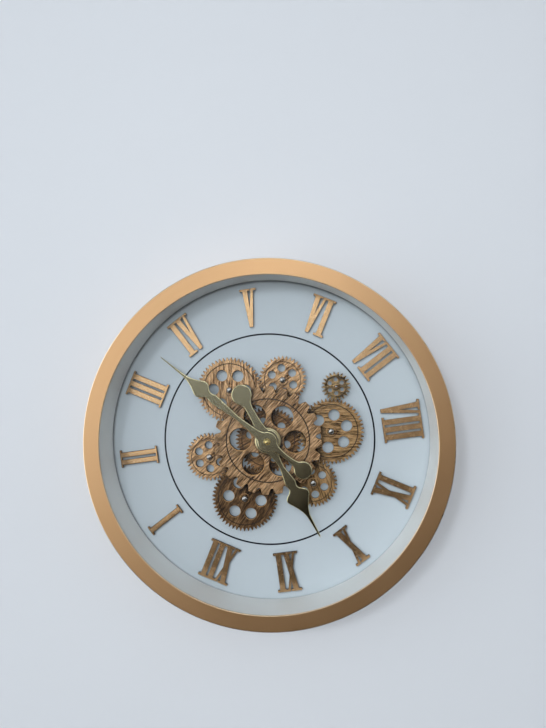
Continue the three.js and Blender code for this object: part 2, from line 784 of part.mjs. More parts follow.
/** A strip that crosses under a housing and stands out of both its sides as two screw ears. */
function earStrip(reach) {
  const half = gearboxEarLength / 2;
  return block([-half, half], [dialBack, dialBack + gearboxEarThickness], [-reach, reach]);
}

function earScrewHoles(reach) {
  const hole = () => screwHole(screwSeat + overcut, dialBack - overcut);
  return [-1, 1].map((side) => movedTo(hole(), 0, side * reach));
}

const screwSeat = dialBack + gearboxEarThickness;
const screwHoleEnd = screwSeat - gearboxEarThickness - screwGrip - fitGap;
const gearboxEarReach = gearboxSize.z / 2 + gearboxEarLength / 2;
const gearboxScrews = [-1, 1]
  .map((side) => pinionAt.clone().add(new THREE.Vector2(0, side * gearboxEarReach)));

// Motor with its gearbox, shaft and lead

function buildMotor() {
  const half = { x: gearboxSize.x / 2, z: gearboxSize.z / 2 };
  const back = dialBack + gearboxSize.y;
  const box = block([-half.x, half.x], [dialBack, back], [-half.z, half.z]);
  const earEnd = half.z + gearboxEarLength;
  const ears = earStrip(earEnd);
  const shaftEnd = dialBack + motorShaftReach;
  const shaftHole = rod(boreFor(motorShaftRadius), shaftEnd + fitGap, dialBack - overcut);
  const earHoles = earScrewHoles(gearboxEarReach);
  addPiece('gearbox', cut(join(box, ears), shaftHole, ...earHoles), blackPlastic, { at: pinionAt });
  const can = rod(motorCanRadius, 0, motorCanLength).rotateZ(Math.PI / 2)
    .translate(-half.x, dialBack + gearboxSize.y / 2, 0);
  addPiece('motor_can', weld(can), steel, { at: pinionAt });
  const shaftFront = wheelFront - pinionTubeRise + fitGap;
  addPiece('motor_shaft', rod(motorShaftRadius, shaftEnd, shaftFront), steel, { at: pinionAt });
  gearboxScrews.forEach((at, i) => {
    addPiece(`gearbox_screw_${i === 0 ? 'lower' : 'upper'}`, buildScrew(screwSeat), zincPlate, { at });
  });
}

// Battery box: two cells side by side under a sliding lid, with the switch at one end

const boxInner = { x: cellLength / 2 + fitGap, z: 2 * cellRadius + boxCellGap };
const boxOuter = { x: boxInner.x + boxWall, z: boxInner.z + boxWall };
const boxCellLevel = dialBack + boxWall + cellRadius;
const lidFront = boxCellLevel + cellRadius + fitGap;
const lidBack = lidFront + lidThickness;
const boxBack = lidBack + boxWall / 2;
const lidHalf = boxInner.z + lidGrooveDepth - fitGap;
const lidTravel = lidTravelShare * 2 * boxOuter.x;
const switchEnd = -boxOuter.x - switchHousing.x;
const switchMiddle = -boxOuter.x - switchHousing.x / 2;
const switchTravel = switchSlot.z - switchKnob.z - 2 * fitGap;
const boxEarReach = boxOuter.z + gearboxEarLength / 2;
const boxAt = new THREE.Vector2(boxCentre.x, boxCentre.z);
const boxScrews = [-1, 1]
  .map((side) => boxAt.clone().add(new THREE.Vector2(0, side * boxEarReach)));

function buildBatteryBox() {
  const shell = block([-boxOuter.x, boxOuter.x], [dialBack, boxBack], [-boxOuter.z, boxOuter.z]);
  const housing = block([switchEnd, -boxOuter.x], [dialBack, lidBack],
    [-switchHousing.z / 2, switchHousing.z / 2]);
  const ears = earStrip(boxOuter.z + gearboxEarLength);
  const well = block([-boxInner.x, boxInner.x], [dialBack + boxWall - fitGap, boxBack + overcut],
    [-boxInner.z, boxInner.z]);
  const groove = block([-boxInner.x, boxOuter.x + overcut], [lidFront - fitGap / 2, lidBack + fitGap],
    [-boxInner.z - lidGrooveDepth, boxInner.z + lidGrooveDepth]);
  const lidWay = block([boxInner.x - overcut, boxOuter.x + overcut],
    [lidFront - fitGap / 2, boxBack + overcut], [-boxInner.z, boxInner.z]);
  const slot = block([switchMiddle - switchSlot.x / 2, switchMiddle + switchSlot.x / 2],
    [dialBack + boxWall, lidBack + overcut], [-switchSlot.z / 2, switchSlot.z / 2]);
  const earHoles = earScrewHoles(boxEarReach);
  const box = cut(join(shell, housing, ears), well, groove, lidWay, slot, ...earHoles);
  addPiece('battery_box', box, blackPlastic, { at: boxAt });
  const lidStart = -boxInner.x + fitGap;
  const cover = block([lidStart, boxOuter.x], [lidFront, lidBack], [-lidHalf, lidHalf]);
  const ridges = [];
  for (let i = 0; i < lidRidgeCount; i += 1) {
    const x = boxInner.x - (i + 1) * lidRidgePitch;
    ridges.push(block([x - lidRidgeWidth / 2, x + lidRidgeWidth / 2],
      [lidBack - jointDepth, lidBack + lidRidgeHeight], [-boxInner.z / 2, boxInner.z / 2]));
  }
  addPiece('battery_lid', join(cover, ...ridges), blackPlastic, { at: boxAt });
  [-1, 1].forEach((side) => {
    const cell = layCell(0, boxCellLevel, side * (cellRadius + boxCellGap / 2));
    addPiece(`motor_cell_${side < 0 ? 'lower' : 'upper'}`, cell, cellJacket, { at: boxAt });
  });
  const knobHalf = switchSlot.x / 2 - fitGap;
  const knobMiddle = -switchTravel / 2;
  const slider = block([switchMiddle - knobHalf, switchMiddle + knobHalf],
    [dialBack + boxWall + fitGap, lidBack + switchKnob.rise],
    [knobMiddle - switchKnob.z / 2, knobMiddle + switchKnob.z / 2]);
  addPiece('switch_slider', slider, redSleeve, { at: boxAt });
  boxScrews.forEach((at, i) => {
    addPiece(`battery_box_screw_${i === 0 ? 'lower' : 'upper'}`, buildScrew(screwSeat), zincPlate, { at });
  });
}

// Lead from the switch to the motor, lying along the back of the dial board under one clip

function buildLead() {
  const level = dialBack + leadRadius + fitGap;
  const startX = boxAt.x + switchEnd - fitGap;
  const endX = pinionAt.x + gearboxSize.x / 2 + fitGap;
  const route = new THREE.CatmullRomCurve3([
    new THREE.Vector3(startX, level, boxAt.y),
    new THREE.Vector3(startX - leadStraight, level, boxAt.y),
    ...leadBends.map((bend) => new THREE.Vector3(bend.x, level, bend.z)),
    new THREE.Vector3(endX + leadStraight, level, pinionAt.y),
    new THREE.Vector3(endX, level, pinionAt.y),
  ]);
  const section = new THREE.Shape(circlePoints(leadRadius, pinSides));
  const sweep = { steps: leadSteps, extrudePath: route, bevelEnabled: false };
  const lead = new THREE.ExtrudeGeometry(section, sweep);
  addPiece('motor_lead', weld(lead), greyRubber);
  const middle = route.getPoint(0.5);
  const along = route.getTangent(0.5);
  const half = { x: clipSize.along / 2, z: clipSize.across / 2 };
  const channel = leadRadius + 2 * fitGap;
  const crown = channel + clipSize.wall;
  const foot = block([-half.x, half.x], [dialBack, dialBack + clipSize.wall], [-half.z, half.z]);
  const arch = block([-half.x, half.x], [dialBack, dialBack + clipSize.height], [-crown, crown]);
  const way = block([-half.x - overcut, half.x + overcut], [dialBack - overcut, level + channel],
    [-channel, channel]);
  const turn = THREE.MathUtils.radToDeg(Math.atan2(along.z, along.x));
  const at = new THREE.Vector2(middle.x, middle.z);
  addPiece('lead_clip', cut(join(foot, arch), way), blackPlastic, { at, turn });
}

// Dial board with every hole that the shafts, posts and screws need

function buildDial() {
  const post = circlePoints(boreFor(postRadius), shaftSides);
  const shaft = circlePoints(boreFor(motorShaftRadius), shaftSides, pinionAt);
  const posts = train.flatMap(({ at, idlerAt }) => [at, idlerAt]);
  const axles = posts.map((at) => circlePoints(axleBore, shaftSides, at));
  const board = plate(circlePoints(dialRadius, ringSides, new THREE.Vector2(), 90), dialBack, dialFront,
    [post, shaft, ...axles]);
  const pilots = [...gearboxScrews, ...boxScrews]
    .map((at) => movedTo(screwHole(dialBack + overcut, screwHoleEnd), at.x, at.y));
  addPiece('dial_board', cut(board, ...pilots), dialPaint);
}

// Hanger: a keyhole plate riveted to the inside of the rear ring's flange

function buildHanger() {
  const back = -sheetThickness;
  const front = back - hangerPlate.thickness;
  const seatHeight = centreDrop;
  const entryHeight = seatHeight - keyhole.slotRun;
  const plateFoot = entryHeight - keyhole.headRadius - hangerPlate.foot;
  const outline = rectangle(-hangerPlate.width / 2, hangerPlate.width / 2, plateFoot, hangerTop);
  const opening = new THREE.Path();
  const mouth = Math.acos(keyhole.slotRadius / keyhole.headRadius);
  opening.absarc(0, seatHeight, keyhole.slotRadius, 0, Math.PI, false);
  opening.absarc(0, entryHeight, keyhole.headRadius, Math.PI - mouth, 2 * Math.PI + mouth, false);
  const rivetHoles = rivetPlaces.map((at) => circlePoints(boreFor(rivetShankRadius), shaftSides, at));
  const holes = [opening.getPoints(curveSides), ...rivetHoles];
  addPiece('hanger_plate', plate(outline, back, front, holes), steel);
  rivetPlaces.forEach((at, i) => {
    const rivet = turned([
      [0, 0], [rivetShankRadius, 0], [rivetShankRadius, front], [rivetHead.radius, front],
      [rivetHead.topRadius, front - rivetHead.height], [0, front - rivetHead.height],
    ], pinSides);
    addPiece(`hanger_rivet_${i === 0 ? 'left' : 'right'}`, rivet, zincPlate, { at });
  });
}

buildCase();
buildDial();
buildNumerals();
buildCentreWheels();
buildOuterWheels();
buildDrivePinion();
buildCentre();
buildHands();
buildMovement();
buildMotor();
buildBatteryBox();
buildLead();
buildHanger();

export default clock;
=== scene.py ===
"""Gear wall clock: the finish and the fine form of every piece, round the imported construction.

The clock hangs with its back on the plane y = 0 and its dial faces -Y. Pieces are modelled in
millimetres about their own axis, and are finished in metres in the shared frame. Outlines are
(x, z) points from the dial's centre, and profiles are (radius, depth) points.
"""

from __future__ import annotations

import json
import logging
import math
from dataclasses import dataclass
from enum import Enum
from typing import Callable, Iterable, Sequence

import bmesh
import bpy
from mathutils import Matrix, Quaternion, Vector

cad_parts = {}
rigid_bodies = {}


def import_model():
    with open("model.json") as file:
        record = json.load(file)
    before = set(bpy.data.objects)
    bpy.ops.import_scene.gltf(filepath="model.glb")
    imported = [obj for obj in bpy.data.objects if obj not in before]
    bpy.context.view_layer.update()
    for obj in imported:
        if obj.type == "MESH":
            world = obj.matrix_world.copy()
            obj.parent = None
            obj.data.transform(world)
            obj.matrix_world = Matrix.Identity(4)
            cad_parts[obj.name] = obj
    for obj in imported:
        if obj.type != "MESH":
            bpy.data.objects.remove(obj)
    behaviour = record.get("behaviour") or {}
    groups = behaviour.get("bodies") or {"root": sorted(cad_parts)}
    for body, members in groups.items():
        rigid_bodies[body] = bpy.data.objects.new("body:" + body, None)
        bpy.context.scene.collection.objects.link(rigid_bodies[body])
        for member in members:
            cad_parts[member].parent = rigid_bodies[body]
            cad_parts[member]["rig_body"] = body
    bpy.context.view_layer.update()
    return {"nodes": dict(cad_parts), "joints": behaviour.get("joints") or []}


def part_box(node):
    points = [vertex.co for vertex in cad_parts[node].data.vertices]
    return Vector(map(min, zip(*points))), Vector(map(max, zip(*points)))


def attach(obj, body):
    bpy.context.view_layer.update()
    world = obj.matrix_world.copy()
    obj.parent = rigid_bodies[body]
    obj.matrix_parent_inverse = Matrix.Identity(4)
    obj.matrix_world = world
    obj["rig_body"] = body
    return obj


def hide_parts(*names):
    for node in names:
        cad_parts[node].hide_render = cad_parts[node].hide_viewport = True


for leftover in list(bpy.data.objects):
    bpy.data.objects.remove(leftover)
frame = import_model()

log = logging.getLogger("clock")

MM = 0.001
FULL_TURN = 360.0
PIVOTS = {joint["child"]: joint["pos_m"] for joint in frame["joints"] if "pos_m" in joint}
DIAL_CENTRE = PIVOTS["centre_wheels"]
ORIGIN = Vector((0, 0))
# share of a normal along Y above which a face counts as flat, and its rounded edges don't
FLAT = 0.98

Ring = Sequence[Vector]
Level = tuple[float, float]
Seen = tuple[int, int, int]
Colour = tuple[float, float, float]
Edges = list[bmesh.types.BMEdge]
Socket = bpy.types.NodeSocket


# Places in the frame


def millimetres(point: Sequence[float]) -> Vector:
    """A point of the frame as (x, z) in millimetres from the dial's centre."""
    return Vector(((point[0] - DIAL_CENTRE[0]) / MM, (point[2] - DIAL_CENTRE[2]) / MM))


def extent(node: str) -> tuple[Vector, Vector]:
    """Lowest and highest corner of a node in millimetres, from the dial's centre and the wall."""
    shift = Vector((DIAL_CENTRE[0], 0.0, DIAL_CENTRE[2]))
    return tuple((corner - shift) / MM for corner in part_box(node))


def depth(node: str) -> Level:
    """Front and back level of a node along Y, in millimetres."""
    low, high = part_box(node)
    return low.y / MM, high.y / MM


def axis_of(node: str) -> Vector:
    """Axis of a round node as (x, z) in millimetres from the dial's centre."""
    low, high = extent(node)
    return Vector(((low.x + high.x) / 2, (low.z + high.z) / 2))


def radius_of(node: str) -> float:
    """Radius of a node that is round about an axis along Y, in millimetres."""
    low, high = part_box(node)
    return (high.x - low.x) / 2 / MM


# Outlines and profiles


def polar(radius: float, angle: float) -> Vector:
    """A point at a radius and an angle in degrees from +X towards +Z."""
    turn = math.radians(angle)
    return Vector((radius * math.cos(turn), radius * math.sin(turn)))


def arc(radius: float, start: float, end: float, steps: int, centre: Vector = ORIGIN) -> list[Vector]:
    """Points of an arc between two angles in degrees, both ends included."""
    return [centre + polar(radius, start + (end - start) * i / steps) for i in range(steps + 1)]


def circle(radius: float, steps: int, centre: Vector = ORIGIN) -> list[Vector]:
    """Points of a circle, without a repeated end."""
    return arc(radius, 0, FULL_TURN, steps, centre)[:-1]


def rounding(radius: float, start: float, end: float, steps: int, centre: Level) -> list[Level]:
    """The same points as an arc's, for a profile."""
    return [(point.x, point.y) for point in arc(radius, start, end, steps, Vector(centre))]


def dome(reach: float, level: float, rise: float, angles: Iterable[float], flat: float = 0.0) -> list[Level]:
    """Profile of a domed head from its foot upwards; its rise is negative towards the front."""
    spots = [polar(1.0, angle) for angle in angles]
    return [(flat + spot.x * reach, level + spot.y * rise) for spot in spots]


def bezier(handles: Sequence[Vector], steps: int) -> list[Vector]:
    """Points of a smooth curve from its first handle to its last, both included.

    Args:
        handles: three or four points that steer the curve.
        steps: number of stretches.

    Returns:
        The points in order.
    """
    order = len(handles) - 1
    points = []
    for i in range(steps + 1):
        t = i / steps
        spot = Vector([0.0] * len(handles[0]))
        for k, handle in enumerate(handles):
            spot += handle * (math.comb(order, k) * (1 - t) ** (order - k) * t**k)
        points.append(spot)
    return points


def curve_through(stops: Sequence[Vector], steps: int) -> list[Vector]:
    """Points of a smooth curve through its stops, with knots spaced by the root of their distance.

    Args:
        stops: points that the curve passes.
        steps: stretches between two stops.

    Returns:
        The points, both ends included.
    """
    held = [stops[0] * 2 - stops[1], *stops, stops[-1] * 2 - stops[-2]]
    points = [stops[0].copy()]
    for i in range(1, len(held) - 2):
        before, start, end, after = held[i - 1 : i + 3]
        one, two, three = (math.sqrt(way.length) for way in (start - before, end - start, after - end))
        leave = ((start - before) / one - (end - before) / (one + two) + (end - start) / two) * two
        arrive = ((end - start) / two - (after - start) / (two + three) + (after - end) / three) * two
        points += bezier([start, start + leave / 3, end - arrive / 3, end], steps)[1:]
    return points


def filleted(corners: Ring, radius: float, steps: int = 3) -> list[Vector]:
    """Rounds every corner of a closed outline.

    Args:
        corners: the outline's corners in order.
        radius: how far along each side the rounding starts, limited by the side's length.
        steps: number of stretches in each rounding.

    Returns:
        The rounded outline.
    """
    most = 0.45
    points: list[Vector] = []
    for i, corner in enumerate(corners):
        before, after = corners[i - 1] - corner, corners[(i + 1) % len(corners)] - corner
        start = corner + before.normalized() * min(radius, before.length * most)
        end = corner + after.normalized() * min(radius, after.length * most)
        points.extend(bezier([start, corner, end], steps))
    return points


def rectangle(left: float, right: float, low: float, high: float) -> list[Vector]:
    """Corners of an upright rectangle."""
    return [Vector(corner) for corner in ((left, low), (right, low), (right, high), (left, high))]


def cross(reach: float, half: float) -> list[Vector]:
    """Outline of an upright cross with arms of that reach and half width."""
    arm = [Vector((half, half)), Vector((half, reach)), Vector((-half, reach))]
    return [Matrix.Rotation(math.radians(90 * i), 2) @ point for i in range(4) for point in arm]


def shrunk(outline: Ring, distance: float) -> list[Vector]:
    """Moves every side of a closed outline.

    Args:
        outline: the outline's points in order.
        distance: how far its sides move inwards, or outwards if it is negative.

    Returns:
        The moved outline.
    """
    sharpest = 0.5
    count = len(outline)
    area = sum(outline[i - 1].cross(outline[i]) for i in range(count))
    side = math.copysign(distance, area * distance) if distance else 0.0
    points = []
    for i, point in enumerate(outline):
        before = (point - outline[i - 1]).normalized()
        after = (outline[(i + 1) % count] - point).normalized()
        across = Vector((-before.y - after.y, before.x + after.x))
        points.append(point + across * side / max(1 + before.dot(after), sharpest))
    return points


def raised(outline: Ring, level: float) -> list[Vector]:
    """The points of an outline in space, at their level."""
    return [Vector((point.x, level, point.y)) for point in outline]


def rounded_edge(radius: float, steps: int) -> list[Level]:
    """Depth behind the face and inset of each point of a rounded edge, from the face outwards."""
    turns = [math.radians(90 * i / steps) for i in range(steps + 1)]
    return [(radius * (1 - math.cos(turn)), radius * (1 - math.sin(turn))) for turn in turns]


def plate_levels(front: float, back: float, edge: float, back_edge: float, steps: int = 2) -> list[Level]:
    """Levels of a plate's wall as (depth, inset), with both its edges rounded.

    Args:
        front: level of the front face.
        back: level of the back face.
        edge: radius of the front edge.
        back_edge: radius of the back edge.
        steps: stretches in each rounded edge.

    Returns:
        The levels from the front face to the back face.
    """
    way = 1 if back > front else -1
    head = [(front + way * level, inset) for level, inset in rounded_edge(edge, steps)]
    tail = [(back - way * level, inset) for level, inset in rounded_edge(back_edge, steps)]
    return head + tail[::-1]


def with_seam(levels: list[Level], middle: float, seam: float) -> list[Level]:
    """Lets a groove into the middle of a housing's wall, where its two halves meet.

    Args:
        levels: levels of the wall, from the back face to the front face.
        middle: level of the groove's middle.
        seam: depth of the groove, and half its width.

    Returns:
        The levels with those of the groove between them.
    """
    cut = len(levels) // 2
    half = seam / 2
    groove = [(middle + seam, 0), (middle + half, seam), (middle - half, seam), (middle - seam, 0)]
    return levels[:cut] + groove + levels[cut:]


# Bench


@dataclass(frozen=True)
class Ears:
    """Sizes of the two screw ears of a housing."""

    half: float = 4.0
    sheet: float = 3.0
    hole: float = 1.75
    overlap: float = 1.15


class Bench:
    """A mesh being worked on, in millimetres about the axis of its piece."""

    def __init__(self) -> None:
        """Starts with an empty bench."""
        self.mesh = bmesh.new()

    def loft(self, rings: Sequence[Sequence[Vector]]) -> tuple[Edges, Edges]:
        """Draws a closed wall through rings of equally many points.

        Args:
            rings: points in space, ring by ring.

        Returns:
            The edges of the first ring and of the last ring.
        """
        ring = [self.mesh.verts.new(point) for point in rings[0]]
        edges = [self.mesh.edges.new(pair) for pair in zip(ring, ring[1:] + ring[:1])]
        first = list(edges)
        for points in rings[1:]:
            made = bmesh.ops.extrude_edge_only(self.mesh, edges=edges)["geom"]
            fresh = {part for part in made if isinstance(part, bmesh.types.BMVert)}
            ring = [next(e.other_vert(v) for e in v.link_edges if e.other_vert(v) in fresh) for v in ring]
            for vert, point in zip(ring, points):
                vert.co = point
            sides = [part for part in made if isinstance(part, bmesh.types.BMEdge)]
            edges = [edge for edge in sides if all(vert in fresh for vert in edge.verts)]
        return first, edges

    def wall(self, outline: Ring, levels: Sequence[Level], hole: bool = False) -> tuple[Edges, Edges]:
        """Draws an outline through (depth, inset) levels, round the material or as a hole in it."""
        side = -1 if hole else 1
        return self.loft([raised(shrunk(outline, side * inset), level) for level, inset in levels])

    def rings(self, profile: Sequence[Level], steps: int, centre: Vector = ORIGIN) -> tuple[Edges, Edges]:
        """Draws the circles of a profile one after another about a centre."""
        return self.loft([raised(circle(radius, steps, centre), level) for radius, level in profile])

    def cap(self, *rims: Edges) -> None:
        """Fills the flat face between an outer rim and the rims inside it."""
        edges = [edge for rim in rims for edge in rim]
        bmesh.ops.triangle_fill(self.mesh, use_beauty=True, use_dissolve=False, edges=edges)

    def close(self, *rims: Edges) -> None:
        """Fills the flat face inside each rim."""
        for rim in rims:
            self.cap(rim)

    def turned(self, profile: Sequence[Level], steps: int = 96) -> Bench:
        """Spins a profile round the Y axis.

        Args:
            profile: (radius, depth) points; one that starts on the axis ends there too, and any
                other is a ring's, which is closed.
            steps: number of steps in the full turn.

        Returns:
            This bench.
        """
        verts = [self.mesh.verts.new((radius, level, 0)) for radius, level in profile]
        ends = verts[1:] if profile[0][0] == 0 else verts[1:] + verts[:1]
        edges = [self.mesh.edges.new(pair) for pair in zip(verts, ends)]
        bmesh.ops.spin(
            self.mesh, geom=verts + edges, cent=(0, 0, 0), axis=(0, 1, 0), dvec=(0, 0, 0), angle=math.tau,
            steps=steps, use_merge=True, use_normal_flip=False, use_duplicate=False,
        )
        return self

    def bevel(self, edges: Iterable[bmesh.types.BMEdge], width: float, segments: int = 2) -> None:
        """Rounds the given edges."""
        bmesh.ops.bevel(
            self.mesh, geom=list(edges), offset=width, affect="EDGES", segments=segments, profile=0.5,
            material=-1, clamp_overlap=True,
        )

    def block(self, x: Level, y: Level, z: Level, edge: float, segments: int = 2) -> None:
        """Adds a block with its edges rounded.

        Args:
            x: its lowest and highest value along X.
            y: its lowest and highest value along Y.
            z: its lowest and highest value along Z.
            edge: width of its rounded edges.
            segments: number of facets in each edge.
        """
        made = bmesh.ops.create_cube(self.mesh, size=1.0)["verts"]
        bmesh.ops.scale(self.mesh, vec=[high - low for low, high in (x, y, z)], verts=made)
        bmesh.ops.translate(self.mesh, vec=[(high + low) / 2 for low, high in (x, y, z)], verts=made)
        self.bevel({e for vert in made for e in vert.link_edges}, edge, segments)

    def lie(self, turn: float, by: Vector) -> None:
        """Lays all that is on the bench along X, by a turn in degrees about Z, and moves it."""
        matrix = Matrix.Rotation(math.radians(turn), 3, "Z")
        bmesh.ops.rotate(self.mesh, cent=(0, 0, 0), matrix=matrix, verts=self.mesh.verts)
        bmesh.ops.translate(self.mesh, vec=by, verts=self.mesh.verts)

    def tube(self, path: Sequence[Vector], section: Ring, reference: Vector) -> None:
        """Sweeps a closed section along a path and closes both ends.

        Args:
            path: points in space.
            section: closed section as (across, along the reference) points.
            reference: direction that the section's second value follows.
        """
        rings = []
        for i, point in enumerate(path):
            tangent = (path[min(i + 1, len(path) - 1)] - path[max(i - 1, 0)]).normalized()
            side = tangent.cross(reference).normalized()
            up = side.cross(tangent)
            rings.append([point + side * p.x + up * p.y for p in section])
        self.close(*self.loft(rings))

    def slab(self, outline: Ring, levels: Sequence[Level]) -> None:
        """Adds a closed slab of an outline through its levels."""
        self.close(*self.wall(outline, levels))

    def peg(self, at: Vector, radius: float, foot: float, top: float) -> None:
        """Adds a low round peg with a dimple in its top.

        Args:
            at: (x, z) of its axis.
            radius: its radius at the foot.
            foot: level of its foot.
            top: level of its top.
        """
        dimple, dip, chamfer = radius * 0.45, 0.3, 0.15
        profile = [(radius, foot), (radius - 0.1, top - chamfer), (radius - 2 * chamfer, top)]
        profile += [(dimple, top), (dimple * 0.8, top - dip)]
        self.close(*self.rings(profile, 24, at))

    def ears(self, housing: Ears, middle_to_screw: float, front: float) -> None:
        """Adds a screw ear above a housing and one below it.

        Args:
            housing: sizes of the ears.
            middle_to_screw: distance from the housing's middle to each screw.
            front: level of the face that lies on the board.
        """
        half, steps = housing.half, 12
        levels = plate_levels(front + housing.sheet, front, 0.35, 0.1)
        for way in (-1, 1):
            hole_at = Vector((0, way * middle_to_screw))
            start = hole_at.y - way * half * housing.overlap
            outline = [Vector((-half, start)), Vector((half, start)), Vector((half, hole_at.y))]
            outline += arc(half, 0, way * 180, steps, hole_at)[1:-1]
            outline += [Vector((-half, hole_at.y))]
            rims = self.wall(outline, levels)
            bore = self.wall(circle(housing.hole, 20, hole_at), levels, hole=True)
            for rim, edge in zip(rims, bore):
                self.cap(rim, edge)

    def paint(self, index: int, wanted: Callable[[Vector, Vector], bool]) -> None:
        """Gives a finish to the faces that are wanted.

        Args:
            index: the finish's place among the piece's finishes.
            wanted: says of a face's centre and normal whether it is one.
        """
        bmesh.ops.recalc_face_normals(self.mesh, faces=self.mesh.faces)
        for face in self.mesh.faces:
            if wanted(face.calc_center_median(), face.normal):
                face.material_index = index

    def finish(
        self,
        name: str,
        finishes: Sequence[Finish],
        at: Vector = ORIGIN,
        turn: float = 0.0,
        crease: float = 32.0,
    ) -> bpy.types.Object:
        """Puts the piece in its place in the frame.

        Args:
            name: name of the piece.
            finishes: its finishes, by material index.
            at: (x, z) of the piece's axis from the dial's centre, in millimetres.
            turn: angle in degrees from +X towards +Z.
            crease: edges sharper than this angle stay crisp.

        Returns:
            The finished object.
        """
        place = Matrix.Translation((DIAL_CENTRE[0], 0, DIAL_CENTRE[2])) @ Matrix.Scale(MM, 4)
        place = place @ Matrix.Translation((at.x, 0, at.y)) @ Matrix.Rotation(math.radians(-turn), 4, "Y")
        bmesh.ops.remove_doubles(self.mesh, verts=self.mesh.verts, dist=0.0005)
        bmesh.ops.recalc_face_normals(self.mesh, faces=self.mesh.faces)
        bmesh.ops.transform(self.mesh, matrix=place, verts=self.mesh.verts)
        return self.shaded(name, finishes, crease)

    def shaded(self, name: str, finishes: Sequence[Finish], crease: float = 32.0) -> bpy.types.Object:
        """Makes the object of a mesh that lies in its place, shaded and dressed.

        Args:
            name: name of the piece.
            finishes: its finishes, by material index.
            crease: edges sharper than this angle stay crisp.

        Returns:
            The finished object.
        """
        mesh = bpy.data.meshes.new(name)
        self.mesh.to_mesh(mesh)
        self.mesh.free()
        mesh.shade_smooth()
        mesh.set_sharp_from_angle(angle=math.radians(crease))
        for finish in finishes:
            mesh.materials.append(finish.material())
        piece = bpy.data.objects.new(name, mesh)
        bpy.context.scene.collection.objects.link(piece)
        shading = piece.modifiers.new("even_shading", "WEIGHTED_NORMAL")
        shading.keep_sharp = True
        shading.weight = 80
        return piece

    def stand(self, name: str, node: str, *finishes: Finish, **place: Vector | float) -> bpy.types.Object:
        """Puts the piece in its place as finish does, where it stands for a construction node."""
        return stand_for(self.finish(name, finishes, **place), node)

    def fit(self, name: str, beside: str, slot: str, finish: Finish, **place: Vector | float) -> None:
        """Puts a small piece in its place as finish does, where it rides with a construction node.

        Args:
            name: name of the piece.
            beside: node that it rides with.
            slot: a material slot of the record; not used.
            finish: its finish.
            **place: its place and crease, as for finish.
        """
        piece = self.finish(name, [finish], **place)
        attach(piece, body_of(beside))
        log.info("%s rides with %s", piece.name, beside)


def body_of(node: str) -> str:
    """Name of the body that carries a node."""
    return frame["nodes"][node]["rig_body"]


def stand_for(piece: bpy.types.Object, node: str) -> bpy.types.Object:
    """Lets a piece stand for a construction node: it rides with it, and the node is hidden.

    Args:
        piece: the finished piece.
        node: node that it stands for.

    Returns:
        The same piece.
    """
    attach(piece, body_of(node))
    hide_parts(node)
    log.info("%s stands for %s", piece.name, node)
    return piece


def refined(name: str, node: str, edge: float, finishes: Sequence[Finish]) -> bpy.types.Object:
    """Makes a merged copy of a node's mesh, with its flat faces joined and its edges rounded.

    Args:
        name: name of the new piece.
        node: construction node that it stands for.
        edge: width of the rounded edges in millimetres.
        finishes: its finishes.

    Returns:
        The piece, riding in place of the node.
    """
    flat, sharp = math.radians(1.0), math.radians(35)
    bench = Bench()
    mesh = bench.mesh
    mesh.from_mesh(frame["nodes"][node].data)
    bmesh.ops.remove_doubles(mesh, verts=mesh.verts, dist=0.00001)
    bmesh.ops.dissolve_limit(
        mesh, angle_limit=flat, verts=mesh.verts, edges=mesh.edges, use_dissolve_boundaries=False
    )
    bench.bevel([e for e in mesh.edges if len(e.link_faces) == 2 and e.calc_face_angle() > sharp], edge * MM)
    return stand_for(bench.shaded(name, finishes), node)


# Finishes


def srgb(colour: Seen) -> Colour:
    """A colour given as it is seen, 0 to 255, as the linear values that a shader takes."""
    shares = [channel / 255 for channel in colour]
    return tuple(share / 12.92 if share <= 0.04045 else ((share + 0.055) / 1.055) ** 2.4 for share in shares)


